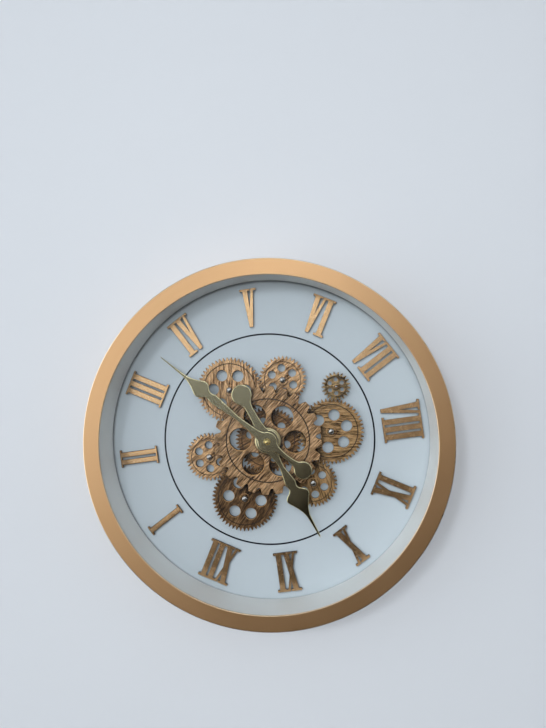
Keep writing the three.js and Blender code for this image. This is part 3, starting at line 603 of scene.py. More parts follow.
class Wiring:
    """A node tree being wired."""

    def __init__(self, tree: bpy.types.NodeTree) -> None:
        """Empties the tree."""
        self.tree = tree
        self.tree.nodes.clear()

    def give(self, socket: Socket, value: Socket | float | Sequence[float]) -> None:
        """Links another socket to a socket, or sets a value there.

        Args:
            socket: the socket that gets something.
            value: the other socket, or the value; a colour is given without alpha.
        """
        if isinstance(value, bpy.types.NodeSocket):
            self.tree.links.new(value, socket)
        else:
            socket.default_value = (*value, 1.0) if socket.type == "RGBA" else value

    def put(self, kind: str, **settings: Socket | float | str | Sequence[float]) -> bpy.types.Node:
        """Adds a node.

        Args:
            kind: the node's type, without the words that all types start with.
            **settings: its options, in small letters, and its inputs, with a capital and with
                underscores for spaces.

        Returns:
            The node.
        """
        node = self.tree.nodes.new(f"ShaderNode{kind}")
        for name, value in settings.items():
            if name[0].islower():
                setattr(node, name, value)
            else:
                self.give(node.inputs[name.replace("_", " ")], value)
        return node

    def join(
        self, kind: str, operation: str | None, *values: Socket | float | Sequence[float]
    ) -> bpy.types.Node:
        """Adds a node whose inputs are told apart by their order.

        Args:
            kind: the node's type, as for put.
            operation: what a math node does, or None for another node.
            *values: what its inputs get, in order.

        Returns:
            The node.
        """
        node = self.put(kind, operation=operation) if operation else self.put(kind)
        for socket, value in zip(node.inputs, values):
            self.give(socket, value)
        return node

    def reckon(self, operation: str, *values: Socket | float) -> Socket:
        """The result of a math operation on values."""
        return self.join("Math", operation, *values).outputs["Value"]

    def path(self, kind: str) -> Socket:
        """Whether a ray is of a kind, such as Camera or Shadow."""
        return self.put("LightPath").outputs[f"Is {kind} Ray"]

    def either(self, share: Socket, first: Socket, second: Socket) -> Socket:
        """The first shader, or the second by a share."""
        return self.join("MixShader", None, share, first, second).outputs["Shader"]

    def ramp(self, value: Socket, *stops: tuple[float, Colour]) -> Socket:
        """Turns a value into a colour.

        Args:
            value: what is turned into a colour.
            *stops: position and colour of each stop.

        Returns:
            The colour's socket.
        """
        node = self.put("ValToRGB", Fac=value)
        elements = node.color_ramp.elements
        while len(elements) < len(stops):
            elements.new(0.5)
        for element, (position, colour) in zip(elements, stops):
            element.position = position
            element.color = (*colour, 1.0)
        return node.outputs["Color"]

    def span(self, value: Socket, low: float, high: float, start: float = 0.0, end: float = 1.0) -> Socket:
        """Maps a value, so that it goes from low at the start to high at the end."""
        node = self.put("MapRange", Value=value, From_Min=start, From_Max=end, To_Min=low, To_Max=high)
        return node.outputs["Result"]


class Coat(Wiring):
    """The node tree of one material, with its shader already on the output."""

    def __init__(self, name: str) -> None:
        """Makes a plain material of that name."""
        self.made = bpy.data.materials.new(name)
        self.made.use_nodes = True
        super().__init__(self.made.node_tree)
        self.output = self.put("OutputMaterial")
        self.shader = self.put("BsdfPrincipled")
        self.surface(self.shader.outputs["BSDF"])

    def surface(self, shader: Socket) -> None:
        """Puts a shader on the output."""
        self.give(self.output.inputs["Surface"], shader)

    def shade(self, **values: Socket | float | Colour) -> None:
        """Sets or links the shader's own sockets, named with underscores for spaces."""
        for name, value in values.items():
            self.give(self.shader.inputs[name.replace("_", " ")], value)

    def place(
        self, scale: Sequence[float] = (1.0, 1.0, 1.0), turn: float = 0.0, centre: Vector = ORIGIN
    ) -> Socket:
        """Object coordinates about a centre on the dial, turned in its plane and scaled.

        Args:
            scale: scale along X, Y and Z after the turn, per metre.
            turn: angle in degrees from +X towards +Z.
            centre: (x, z) from the dial's centre, in millimetres.

        Returns:
            The vector socket.
        """
        shift = (-DIAL_CENTRE[0] - centre.x * MM, 0.0, -DIAL_CENTRE[2] - centre.y * MM)
        rotation = (0.0, math.radians(turn), 0.0)
        where = self.put("TexCoord").outputs["Object"]
        for setting in ({"Location": shift}, {"Rotation": rotation}, {"Scale": tuple(scale)}):
            where = self.put("Mapping", Vector=where, **setting).outputs["Vector"]
        return where

    def noise(
        self, where: Socket, scale: float, detail: float = 4.0, rough: float = 0.55, distortion: float = 0.0
    ) -> Socket:
        """A noise value at a place, with its fineness, its layers, their strength and its twist."""
        settings = {"Scale": scale, "Detail": detail, "Roughness": rough, "Distortion": distortion}
        return self.put("TexNoise", Vector=where, **settings).outputs["Fac"]

    def clouded(self, clouds: Socket, shift: Seen, tone: Seen) -> Socket:
        """A colour that drifts between two seen ones with a cloud."""
        return self.ramp(clouds, (0.3, srgb(shift)), (0.7, srgb(tone)))

    def mix(self, share: Socket | float, first: Socket | Colour, second: Socket | Colour) -> Socket:
        """Mixes two colours.

        Args:
            share: how much of the second there is.
            first: colour at share 0.
            second: colour at share 1.

        Returns:
            The mixed colour's socket.
        """
        node = self.put("Mix", data_type="RGBA", blend_type="MIX")
        sockets = {socket.identifier: socket for socket in node.inputs}
        for name, value in (("Factor_Float", share), ("A_Color", first), ("B_Color", second)):
            self.give(sockets[name], value)
        return next(s for s in node.outputs if s.identifier == "Result_Color")

    def painted_shade_share(self, reach: float, lean: Sequence[float] = (0.78, 0.0, -0.4)) -> Socket:
        """How much painted shade a spot gets, from 0 in the open to 1 deep in a hole or corner.

        Args:
            reach: how far it looks, in metres.
            lean: side to which the look leans, so that the painted shade falls darker on one side of a hole.

        Returns:
            The value's socket.
        """
        normal = self.put("NewGeometry").outputs["Normal"]
        for operation, values in (("ADD", (lean,)), ("NORMALIZE", ())):
            normal = self.join("VectorMath", operation, normal, *values).outputs["Vector"]
        node = self.put("AmbientOcclusion", samples=8, Distance=reach, Normal=normal)
        return self.span(node.outputs["AO"], 0.98, 0.0, 0.5, 0.83)

    def bump(self, height: Socket, strength: float, distance: float) -> Socket:
        """A normal that is bumped by a height, up to a distance in metres."""
        return self.put("Bump", Height=height, Strength=strength, Distance=distance).outputs["Normal"]


@dataclass(frozen=True)
class Finish:
    """A surface finish; the material is made once and shared."""

    name: str

    def material(self) -> bpy.types.Material:
        """The material of this finish."""
        title = f"{self.name}_finish"
        known = bpy.data.materials.get(title)
        if known is None:
            coat = Coat(title)
            self.wire(coat)
            known = coat.made
        return known

    def wire(self, coat: Coat) -> None:
        """Wires the finish into a plain coat."""
        raise NotImplementedError


@dataclass(frozen=True)
class SatinMetal(Finish):
    """Lacquered or brushed metal with a cloudy tone and fine scratches."""

    tone: Seen
    shift: Seen
    roughness: float = 0.4
    spread: float = 0.06
    cloud: float = 18.0
    metallic: float = 1.0
    grit: float = 2400.0
    grit_depth: float = 0.02
    coat: float = 0.0

    def wire(self, coat: Coat) -> None:
        """Wires the finish.

        Args:
            coat: the plain coat.
        """
        where = coat.place()
        clouds = coat.noise(where, self.cloud, 3.0, 0.6)
        grit = coat.noise(where, self.grit, 2.0, 0.6)
        both = coat.mix(0.35, clouds, grit)
        coat.shade(
            Base_Color=coat.clouded(clouds, self.shift, self.tone),
            Roughness=coat.span(both, self.roughness - self.spread, self.roughness + self.spread, 0.3, 0.7),
            Normal=coat.bump(grit, self.grit_depth * 10, 0.00005),
            Metallic=self.metallic,
            Coat_Weight=self.coat,
            Coat_Roughness=0.25,
        )


class WoodTone(Enum):
    """How light a wheel's bronze coat is: light, body and dark colours, as they are seen."""

    PALE = ((248, 202, 152), (200, 156, 110), (74, 44, 24))
    TAN = ((220, 178, 134), (162, 123, 84), (34, 21, 12))
    GOLD = ((206, 166, 116), (166, 128, 84), (56, 36, 18))
    BROWN = ((186, 140, 94), (122, 86, 52), (30, 18, 10))
    UMBER = ((156, 118, 80), (98, 70, 44), (22, 14, 8))
    OLIVE = ((200, 168, 118), (130, 104, 66), (26, 19, 11))


@dataclass(frozen=True)
class GrainedBronze(Finish):
    """Bronze-brown metallic coat rubbed in wood-like streaks."""

    tone: WoodTone
    grain: float
    centre: tuple[float, float]
    roughness: float = 0.46
    # painted shade: near-black mixed in at holes and gaps, and how far it reaches
    painted_hole_shade: Colour = (0.008, 0.005, 0.003)
    painted_hole_shade_reach: float = 0.014

    def wire(self, coat: Coat) -> None:
        """Wires streaks, pale patches, growth rings, scratches, and painted shade in holes and gaps.

        Args:
            coat: the plain coat.
        """
        middle = Vector(self.centre)
        light, body, dark = (srgb(colour) for colour in self.tone.value)
        streaks = coat.noise(coat.place((58.0, 58.0, 680.0), self.grain, middle), 1.0, 7.0, 0.58, 0.2)
        scratches = coat.noise(coat.place((40.0, 40.0, 540.0), self.grain + 12, middle), 1.0, 6.0, 0.6, 0.2)
        patches = coat.noise(coat.place(centre=middle), 42.0, 3.0, 0.6, 0.6)
        waves = coat.noise(coat.place((20.0, 20.0, 170.0), self.grain, middle), 1.0, 3.0)
        rings = coat.reckon("PINGPONG", coat.reckon("MULTIPLY", waves, 7.0), 1.0)
        fine = coat.ramp(streaks, (0.4, dark), (0.46, body), (0.53, body), (0.59, light))
        washed = coat.mix(coat.span(patches, 0.0, 0.5, 0.46, 0.7), fine, light)
        lined = coat.mix(coat.span(rings, 0.55, 0.0, 0.06, 0.3), washed, dark)
        worn = coat.mix(coat.span(scratches, 0.7, 0.0, 0.36, 0.44), lined, dark)
        coat.shade(
            # painted shade in holes and under the wheel in front
            Base_Color=coat.mix(coat.painted_shade_share(self.painted_hole_shade_reach), worn, self.painted_hole_shade),
            Roughness=coat.span(streaks, self.roughness + 0.14, self.roughness - 0.08, 0.35, 0.65),
            Normal=coat.bump(coat.mix(0.5, streaks, scratches), 0.06, 0.00015),
            Metallic=0.5,
            Specular_IOR_Level=0.3,
        )


@dataclass(frozen=True)
class Paint(Finish):
    """Painted or moulded surface with a fine tooth, a faint cloud and, if given, painted shade in corners.
    """

    tone: Seen
    shift: Seen
    roughness: float = 0.5
    spread: float = 0.05
    cloud: float = 12.0
    grit: float = 1500.0
    depth: float = 0.2
    specular: float = 0.5
    coat: float = 0.0
    # painted shade: a grey mixed in at corners and under parts in front, and how far it reaches
    painted_corner_shade: Seen | None = None
    painted_corner_shade_reach: float = 0.0045

    def wire(self, coat: Coat) -> None:
        """Wires the finish.

        Args:
            coat: the plain coat.
        """
        where = coat.place()
        colour = coat.clouded(coat.noise(where, self.cloud, 4.0, 0.6), self.shift, self.tone)
        # painted shade darkens the colour in corners and under parts in front
        if self.painted_corner_shade is not None:
            colour = coat.mix(coat.painted_shade_share(self.painted_corner_shade_reach), colour, srgb(self.painted_corner_shade))
        grit = coat.noise(where, self.grit, 2.0, 0.5)
        coat.shade(
            Base_Color=colour,
            Roughness=coat.span(grit, self.roughness - self.spread, self.roughness + self.spread, 0.3, 0.7),
            Normal=coat.bump(grit, self.depth, 0.00004),
            Specular_IOR_Level=self.specular,
            Coat_Weight=self.coat,
            Coat_Roughness=0.2,
        )


@dataclass(frozen=True)
class Fibreboard(Finish):
    """Bare pressed board: short matted fibres, darker blotches."""

    tones: tuple[Seen, Seen, Seen] = ((96, 66, 42), (141, 104, 70), (172, 133, 94))
    blotch: Seen = (120, 88, 60)

    def wire(self, coat: Coat) -> None:
        """Wires the finish.

        Args:
            coat: the plain coat.
        """
        fibres = coat.noise(coat.place((90.0, 90.0, 420.0), 8.0), 1.6, 6.0, 0.65, 0.8)
        matted = coat.noise(coat.place((420.0, 90.0, 90.0), -12.0), 1.4, 6.0, 0.65, 0.8)
        blotches = coat.noise(coat.place(), 9.0, 4.0, 0.6)
        both = coat.mix(0.5, fibres, matted)
        colour = coat.ramp(both, *zip((0.36, 0.5, 0.64), (srgb(tone) for tone in self.tones)))
        coat.shade(
            Base_Color=coat.mix(coat.span(blotches, 0.0, 0.35, 0.4, 0.7), colour, srgb(self.blotch)),
            Roughness=coat.span(both, 0.72, 0.92, 0.35, 0.65),
            Normal=coat.bump(both, 0.5, 0.0002),
            Specular_IOR_Level=0.3,
        )


@dataclass(frozen=True)
class ClearGlass(Finish):
    """Clear pane that lets the lamps' light through and mirrors little of the room."""

    tint: Colour = (0.985, 0.995, 0.99)
    bending: float = 1.16

    def wire(self, coat: Coat) -> None:
        """Wires the finish.

        Args:
            coat: the plain coat.
        """
        coat.shade(Base_Color=self.tint, Roughness=0.0, IOR=self.bending, Transmission_Weight=1.0)
        passed = coat.reckon("MAXIMUM", coat.path("Shadow"), coat.path("Diffuse"))
        clear = coat.put("BsdfTransparent").outputs["BSDF"]
        coat.surface(coat.either(passed, coat.shader.outputs["BSDF"], clear))


COPPER = SatinMetal(
    "copper_lacquer", (224, 178, 130), (219, 172, 123), 0.4, 0.03, 7.0, grit=3200.0, grit_depth=0.015,
    coat=0.1,
)
# Lighter polished copper on the lip's roundings: a painted highlight line.
COPPER_PAINTED_HIGHLIGHT = SatinMetal("copper_polished_edge_painted_highlight", (250, 222, 184), (242, 212, 172), 0.3, cloud=40.0)
GLASS = ClearGlass("clear_glass")
RUBBER = Paint("grey_rubber", (86, 88, 90), (74, 76, 78), 0.75, depth=0.4, specular=0.3)
LINER_PAINT = Paint("liner_paint", (238, 237, 233), (234, 233, 229), cloud=5.0)
# The dial's grey at the liner's foot and under the wheels is painted shade.
DIAL_PAINT = Paint(
    "dial_paint", (193, 200, 204), (190, 197, 201), 0.55, cloud=6.0, depth=0.15, specular=0.35,
    painted_corner_shade=(118, 120, 121),
)
BOARD = Fibreboard("pressed_board")
INK = Paint("printed_ink", (10, 15, 26), (7, 11, 20), 0.6, grit=2600.0, specular=0.15)
NUMERAL_FACE = SatinMetal(
    "bronze_numeral", (212, 172, 128), (198, 158, 115), 0.26, 0.03, 150.0, grit=1500.0, grit_depth=0.03
)
# The numerals' sides are painted near-black as painted shade.
NUMERAL_SHADED_SIDE = SatinMetal("bronze_numeral_painted_shade_side", (58, 38, 24), (42, 28, 17), 0.45, cloud=60.0, metallic=0.5)
NUMERAL_EDGE = SatinMetal("bronze_numeral_bevel", (168, 124, 82), (120, 84, 52), 0.22, cloud=140.0)
# Lighter bronze on the wheels' rounded edges: partly wear, partly a painted highlight.
BRONZE_WORN_HIGHLIGHT_EDGE = SatinMetal("bronze_worn_edge_painted_highlight", (210, 164, 112), (170, 124, 78), 0.3, cloud=160.0)
BRONZE_WALL = SatinMetal(
    "bronze_shaded_wall", (80, 56, 38), (48, 32, 22), 0.52, cloud=120.0, metallic=0.5, grit_depth=0.05
)
# The turned groove is coloured dark brown.
GROOVE = Paint("groove_dark_brown", (44, 28, 19), (32, 20, 14), 0.7, cloud=90.0)
STEEL = SatinMetal("bright_steel", (196, 192, 188), (176, 172, 168), 0.17, 0.05, 220.0, grit=5200.0)
# Hand faces: brass darkened as a painted dark reflection.
BRASS_PAINTED_DARK = SatinMetal(
    "polished_brass", (116, 108, 85), (104, 97, 76), 0.2, 0.05, 30.0, grit=2600.0, grit_depth=0.01
)
# Hand bevels: near-white brass as a painted highlight.
BRASS_PAINTED_HIGHLIGHT = SatinMetal("polished_brass_edge_painted_highlight", (255, 244, 200), (246, 232, 182), 0.14, 0.04, 80.0)
BRASS_WARM = SatinMetal("polished_brass_cap", (248, 224, 156), (236, 208, 134), 0.13, 0.04, 200.0)
BRASS_PALE = SatinMetal("polished_brass_pale", (240, 226, 180), (226, 210, 162), 0.3, 0.04, 60.0)
BLACK = Paint("black_plastic", (46, 47, 50), (38, 39, 42), grit=900.0, depth=0.5)
JACKET = Paint("cell_jacket", (70, 112, 82), (62, 102, 75), 0.32, depth=0.05, coat=0.3)
JACKET_BAND = Paint("cell_band", (196, 170, 110), (184, 158, 100), 0.3, coat=0.3)
LEAD_SHEATH = Paint("lead_sheath", (98, 100, 102), (84, 86, 88), 0.6, depth=0.3, specular=0.4)
RED = Paint("red_plastic", (176, 44, 36), (160, 38, 32), 0.4)
ZINC = SatinMetal(
    "zinc_plate", (196, 200, 203), (168, 173, 178), 0.38, cloud=26.0, grit=900.0, grit_depth=0.03
)


# Case, glass, liner, dial and rear ring


def disc(node: str, chamfer: float) -> list[Level]:
    """Profile of a round plate in the place of a node.

    Args:
        node: the plate's node.
        chamfer: width of both its chamfered edges.

    Returns:
        The profile from the front to the back.
    """
    front, back = depth(node)
    radius = radius_of(node)
    head = [(0, front), (radius - chamfer, front), (radius, front + chamfer)]
    return head + [(radius, back - chamfer), (radius - chamfer, back), (0, back)]


@dataclass
class Case:
    """Spun rim with its glass, gasket, liner, dial board and the ring that closes the back."""

    lip_width: float = 22.5
    sheet: float = 1.5
    outer_rounding: float = 1.4
    inner_rounding: float = 0.9
    ground_edge: float = 0.4
    liner_step: float = 1.4
    liner_sheet: float = 2.0
    liner_fold: float = 1.9
    gasket_width: float = 8.0
    board_edge: float = 0.3
    printed_ring: float = 151.4
    printed_width: float = 2.3
    printed_height: float = 0.06
    flange_width: float = 28.0
    flange_fold: float = 0.8
    chamfer: float = 0.3
    steps: int = 240
    pane_steps: int = 160
    radius: float = radius_of("case_rim")

    @property
    def lip_radius(self) -> float:
        """Radius of the opening in the lip."""
        return self.radius - self.lip_width

    def rim(self) -> None:
        """Spins the rim: flat lip, rounded shoulder, deep side and folded rear edge."""
        lip, face = self.lip_radius, depth("case_rim")[0]
        inner, outer, hem = self.inner_rounding, self.outer_rounding, self.sheet / 2
        profile = [(lip, face + self.sheet)]
        profile += rounding(inner, 180, 270, 4, (lip + inner, face + inner))
        profile += rounding(outer, 270, 360, 8, (self.radius - outer, face + outer))
        profile += rounding(hem, 0, 180, 8, (self.radius - hem, -hem))
        profile += [(self.radius - self.sheet, face + self.sheet)]

        def is_highlight_rounding(spot: Vector, normal: Vector) -> bool:
            """Whether a face belongs to the roundings on both sides of the lip, which get a painted
            highlight.
            """
            flat = lip + inner < math.hypot(spot.x, spot.z) < self.radius - outer
            return spot.y < face + outer and not flat

        bench = Bench().turned(profile, self.steps)
        bench.paint(1, is_highlight_rounding)
        bench.stand("spun_rim", "case_rim", COPPER, COPPER_PAINTED_HIGHLIGHT, crease=40)

    def glass(self) -> None:
        """Cuts the pane, with its edge ground."""
        bench = Bench().turned(disc("front_glass", self.ground_edge), self.pane_steps)
        bench.stand("glass_pane", "front_glass", GLASS, crease=20)

    def gasket(self) -> None:
        """Spins the flat gasket with rounded sides."""
        front, back = depth("glass_gasket")
        outer = radius_of("glass_gasket")
        half, level = (back - front) / 2, (front + back) / 2
        profile = rounding(half, 270, 450, 6, (outer - half, level))
        profile += rounding(half, 90, 270, 6, (outer - self.gasket_width + half, level))
        Bench().turned(profile, self.pane_steps).stand("rubber_gasket", "glass_gasket", RUBBER, crease=60)

    def liner(self) -> None:
        """Spins the white liner, an angle ring that runs into the dial in a small fillet."""
        front, back = depth("inner_liner")
        outer, inner = radius_of("inner_liner"), self.lip_radius + self.liner_step
        sheet, fold = self.liner_sheet, self.liner_fold
        profile = [(inner + self.chamfer, front), (inner, front + self.chamfer)]
        profile += rounding(fold, 180, 90, 4, (inner + fold, back - fold))
        profile += [(outer, back), (outer, back - sheet)]
        profile += [(inner + sheet, back - sheet), (inner + sheet, front)]
        Bench().turned(profile, self.steps).stand("white_liner", "inner_liner", LINER_PAINT, crease=40)

    def dial(self) -> None:
        """Cuts the board, painted in front and bare behind, and prints its ring."""
        bench = Bench().turned(disc("dial_board", self.board_edge), self.steps)
        bench.paint(1, lambda spot, normal: normal.y >= -FLAT)
        bench.stand("painted_board", "dial_board", DIAL_PAINT, BOARD, crease=20)
        inner, outer = (self.printed_ring + way * self.printed_width / 2 for way in (-1, 1))
        foot = depth("dial_board")[0]
        under, top = foot - 0.01, foot - self.printed_height
        ink = Bench().turned([(inner, under), (inner, top), (outer, top), (outer, under)], self.steps)
        ink.fit("printed_ring", "dial_board", "dial_paint", INK, crease=32)

    def rear_ring(self) -> None:
        """Spins the angle ring with the flange that rests on the wall."""
        front, back = depth("rear_ring")
        outer, inner = radius_of("rear_ring"), self.radius - self.flange_width
        fold, soft, inside = self.flange_fold, self.chamfer, back - self.sheet
        profile = [(inner + soft, back)]
        profile += rounding(fold, 90, 0, 4, (outer - fold, back - fold))
        profile += [(outer, front), (outer - self.sheet, front), (outer - self.sheet, inside)]
        profile += [(inner + soft, inside), (inner, inside + soft), (inner, back - soft)]
        Bench().turned(profile, self.steps).stand("flanged_ring", "rear_ring", ZINC, crease=40)

    def build(self) -> None:
        """Makes every piece of the case."""
        for make in (self.rim, self.glass, self.gasket, self.liner, self.dial, self.rear_ring):
            make()


# Numerals


@dataclass
class Numerals:
    """Twelve raised numerals with slab serifs."""

    count: int = 12
    edge: float = 0.75
    upright: float = 0.2

    def build(self) -> None:
        """Refines each numeral: its face, its sides painted near-black as painted shade, and its rounded
        edges.
        """
        finishes = [NUMERAL_FACE, NUMERAL_SHADED_SIDE, NUMERAL_EDGE]
        for hour in range(1, self.count + 1):
            piece = refined(f"roman_{hour}", f"numeral_{hour}", self.edge, finishes)
            for face in piece.data.polygons:
                if abs(face.normal.y) <= FLAT:
                    face.material_index = 1 if abs(face.normal.y) < self.upright else 2


# Wheels


@dataclass(frozen=True)
class Blank:
    """Sizes of a kind of wheel: its teeth, holes, turned groove and bored boss."""

    teeth: int
    hole_circle: float
    hole_radius: float
    groove: float
    bore: float = 2.9
    hub: float = 7.0
    groove_width: float = 0.9
    groove_depth: float = 1.0
    front: float = -39.0
    thickness: float = 5.0
    hub_front: float = -40.5
    hub_back: float = -29.5
    edge: float = 0.3
    hole_steps: int = 40
    holes: int = 6
    module: float = 1.8

    @property
    def back(self) -> float:
        """Level of the back face."""
        return self.front + self.thickness


@dataclass
class Wheel:
    """One toothed wheel of the train, with the places of its teeth and holes and its coat."""

    node: str
    blank: Blank
    hole_phase: float
    tone: WoodTone
    grain: float
    phase: float = 0.0
    centre: Vector = ORIGIN

    def outline(self) -> list[Vector]:
        """Teeth with rounded tips and roots.

        Returns:
            The closed outline.
        """
        module, teeth = self.blank.module, self.blank.teeth
        pitch, step = module * teeth / 2, FULL_TURN / teeth
        tip, root = pitch + module, pitch - 1.6 * module
        tip_turn = math.degrees(0.44 * module / 2 / tip)
        root_turn = math.degrees(0.4 / root)
        corners = []
        for i in range(teeth):
            tooth = self.phase + step * i
            gap = tooth + step / 2
            corners += [polar(tip, tooth - tip_turn), polar(tip, tooth + tip_turn)]
            corners += [polar(root, gap - root_turn), polar(root, gap + root_turn)]
        return filleted(corners, 0.35, 2)

    def boss(self, bench: Bench) -> tuple[Edges, Edges]:
        """Draws the bored boss from the front face, over its front and through its bore to the back.

        Args:
            bench: the wheel's bench.

        Returns:
            The edges of its foot on the front face and on the back face.
        """
        blank, soft, least = self.blank, 0.35, 0.1
        face, back, front_end, back_end = blank.front, blank.back, blank.hub_front, blank.hub_back
        hub, bore = blank.hub, blank.bore
        slight = soft * 0.3
        profile = [(hub + soft, face)]
        if front_end < face - least:
            profile += [(hub + slight, face - slight), (hub, face - soft), (hub, front_end + soft)]
            profile += [(hub - slight, front_end + slight), (hub - soft, front_end)]
        profile += [(bore + soft, front_end), (bore, front_end + soft), (bore, back_end - soft)]
        profile += [(bore + soft, back_end)]
        if back_end > back + least:
            profile += [(hub - soft, back_end), (hub, back_end - soft), (hub, back)]
        profile += [(hub + soft, back)]
        return bench.rings(profile, 48)

    def body(self) -> Bench:
        """Draws the whole wheel about its own axis.

        Returns:
            The bench with the wheel.
        """
        bench, blank = Bench(), self.blank
        front, floor, lip = blank.front, blank.front + blank.groove_depth, 0.15
        rims = bench.wall(self.outline(), plate_levels(front, blank.back, blank.edge, blank.edge))
        levels = plate_levels(front, blank.back, blank.edge * 2.4, blank.edge)
        holes = []
        for i in range(blank.holes):
            at = polar(blank.hole_circle, self.hole_phase + FULL_TURN * i / blank.holes)
            holes.append(bench.wall(circle(blank.hole_radius, blank.hole_steps, at), levels, hole=True))
        outer, inner = (blank.groove + way * blank.groove_width / 2 for way in (1, -1))
        profile = [(outer + lip, front), (outer, front + lip), (outer, floor)]
        profile += [(inner, floor), (inner, front + lip), (inner - lip, front)]
        groove = bench.rings(profile, 96)
        boss = self.boss(bench)
        bench.cap(rims[0], groove[0])
        bench.cap(groove[1], boss[0], *[hole[0] for hole in holes])
        bench.cap(rims[1], boss[1], *[hole[1] for hole in holes])
        return bench

    def in_groove(self, spot: Vector, normal: Vector) -> bool:
        """Whether a face lies in the turned groove."""
        off = abs(math.hypot(spot.x, spot.z) - self.blank.groove)
        return off < self.blank.groove_width * 0.8 and 0.05 < spot.y - self.blank.front < 2

    def build(self) -> None:
        """Makes the wheel: grained faces, edges lightened by wear and painted highlight, shaded walls, dark
        groove.
        """
        steep, flat = 0.35, 0.97
        bench = self.body()
        # Index 1 gets the lighter edge, partly wear and partly painted highlight.
        bench.paint(1, lambda spot, normal: steep <= abs(normal.y) < flat)
        bench.paint(2, lambda spot, normal: abs(normal.y) < steep)
        bench.paint(3, self.in_groove)
        coat = GrainedBronze(f"bronze_{self.node}", self.tone, self.grain, tuple(self.centre))
        finishes = (coat, BRONZE_WORN_HIGHLIGHT_EDGE, BRONZE_WALL, GROOVE)
        bench.stand(f"toothed_{self.node}", self.node, *finishes, at=self.centre, crease=28)

    def follow(self, driver: Wheel, pivot: str) -> None:
        """Makes the wheel in mesh with the one that drives it, a gap at one of its teeth.

        Args:
            driver: the driving wheel.
            pivot: name of the body that the wheel turns with.
        """
        self.centre = millimetres(PIVOTS[pivot])
        way = self.centre - driver.centre
        towards = math.degrees(math.atan2(way.y, way.x))
        driver_turn = (towards - driver.phase) * driver.blank.teeth / FULL_TURN
        self.phase = towards + 180 - (FULL_TURN / self.blank.teeth) * (0.5 - driver_turn)
        self.build()


@dataclass
class BroadWheel(Wheel):
    """The front wheel, with broad trapezoid teeth."""

    tip_radius: float = 76.5
    tooth_height: float = 8.5
    tip_width: float = 9.0
    root_gap: float = 3.0

    def outline(self) -> list[Vector]:
        """Broad teeth with softly rounded corners.

        Returns:
            The closed outline.
        """
        tip, root, teeth = self.tip_radius, self.tip_radius - self.tooth_height, self.blank.teeth
        tip_turn = math.degrees(math.asin(self.tip_width / 2 / tip))
        root_turn = math.degrees(math.asin((math.pi * root / teeth - self.root_gap / 2) / root))
        corners = []
        for i in range(teeth):
            tooth = self.phase + FULL_TURN * i / teeth
            corners += [polar(root, tooth - root_turn), polar(tip, tooth - tip_turn)]
            corners += [polar(tip, tooth + tip_turn), polar(root, tooth + root_turn)]
        return filleted(corners, 0.8, 3)


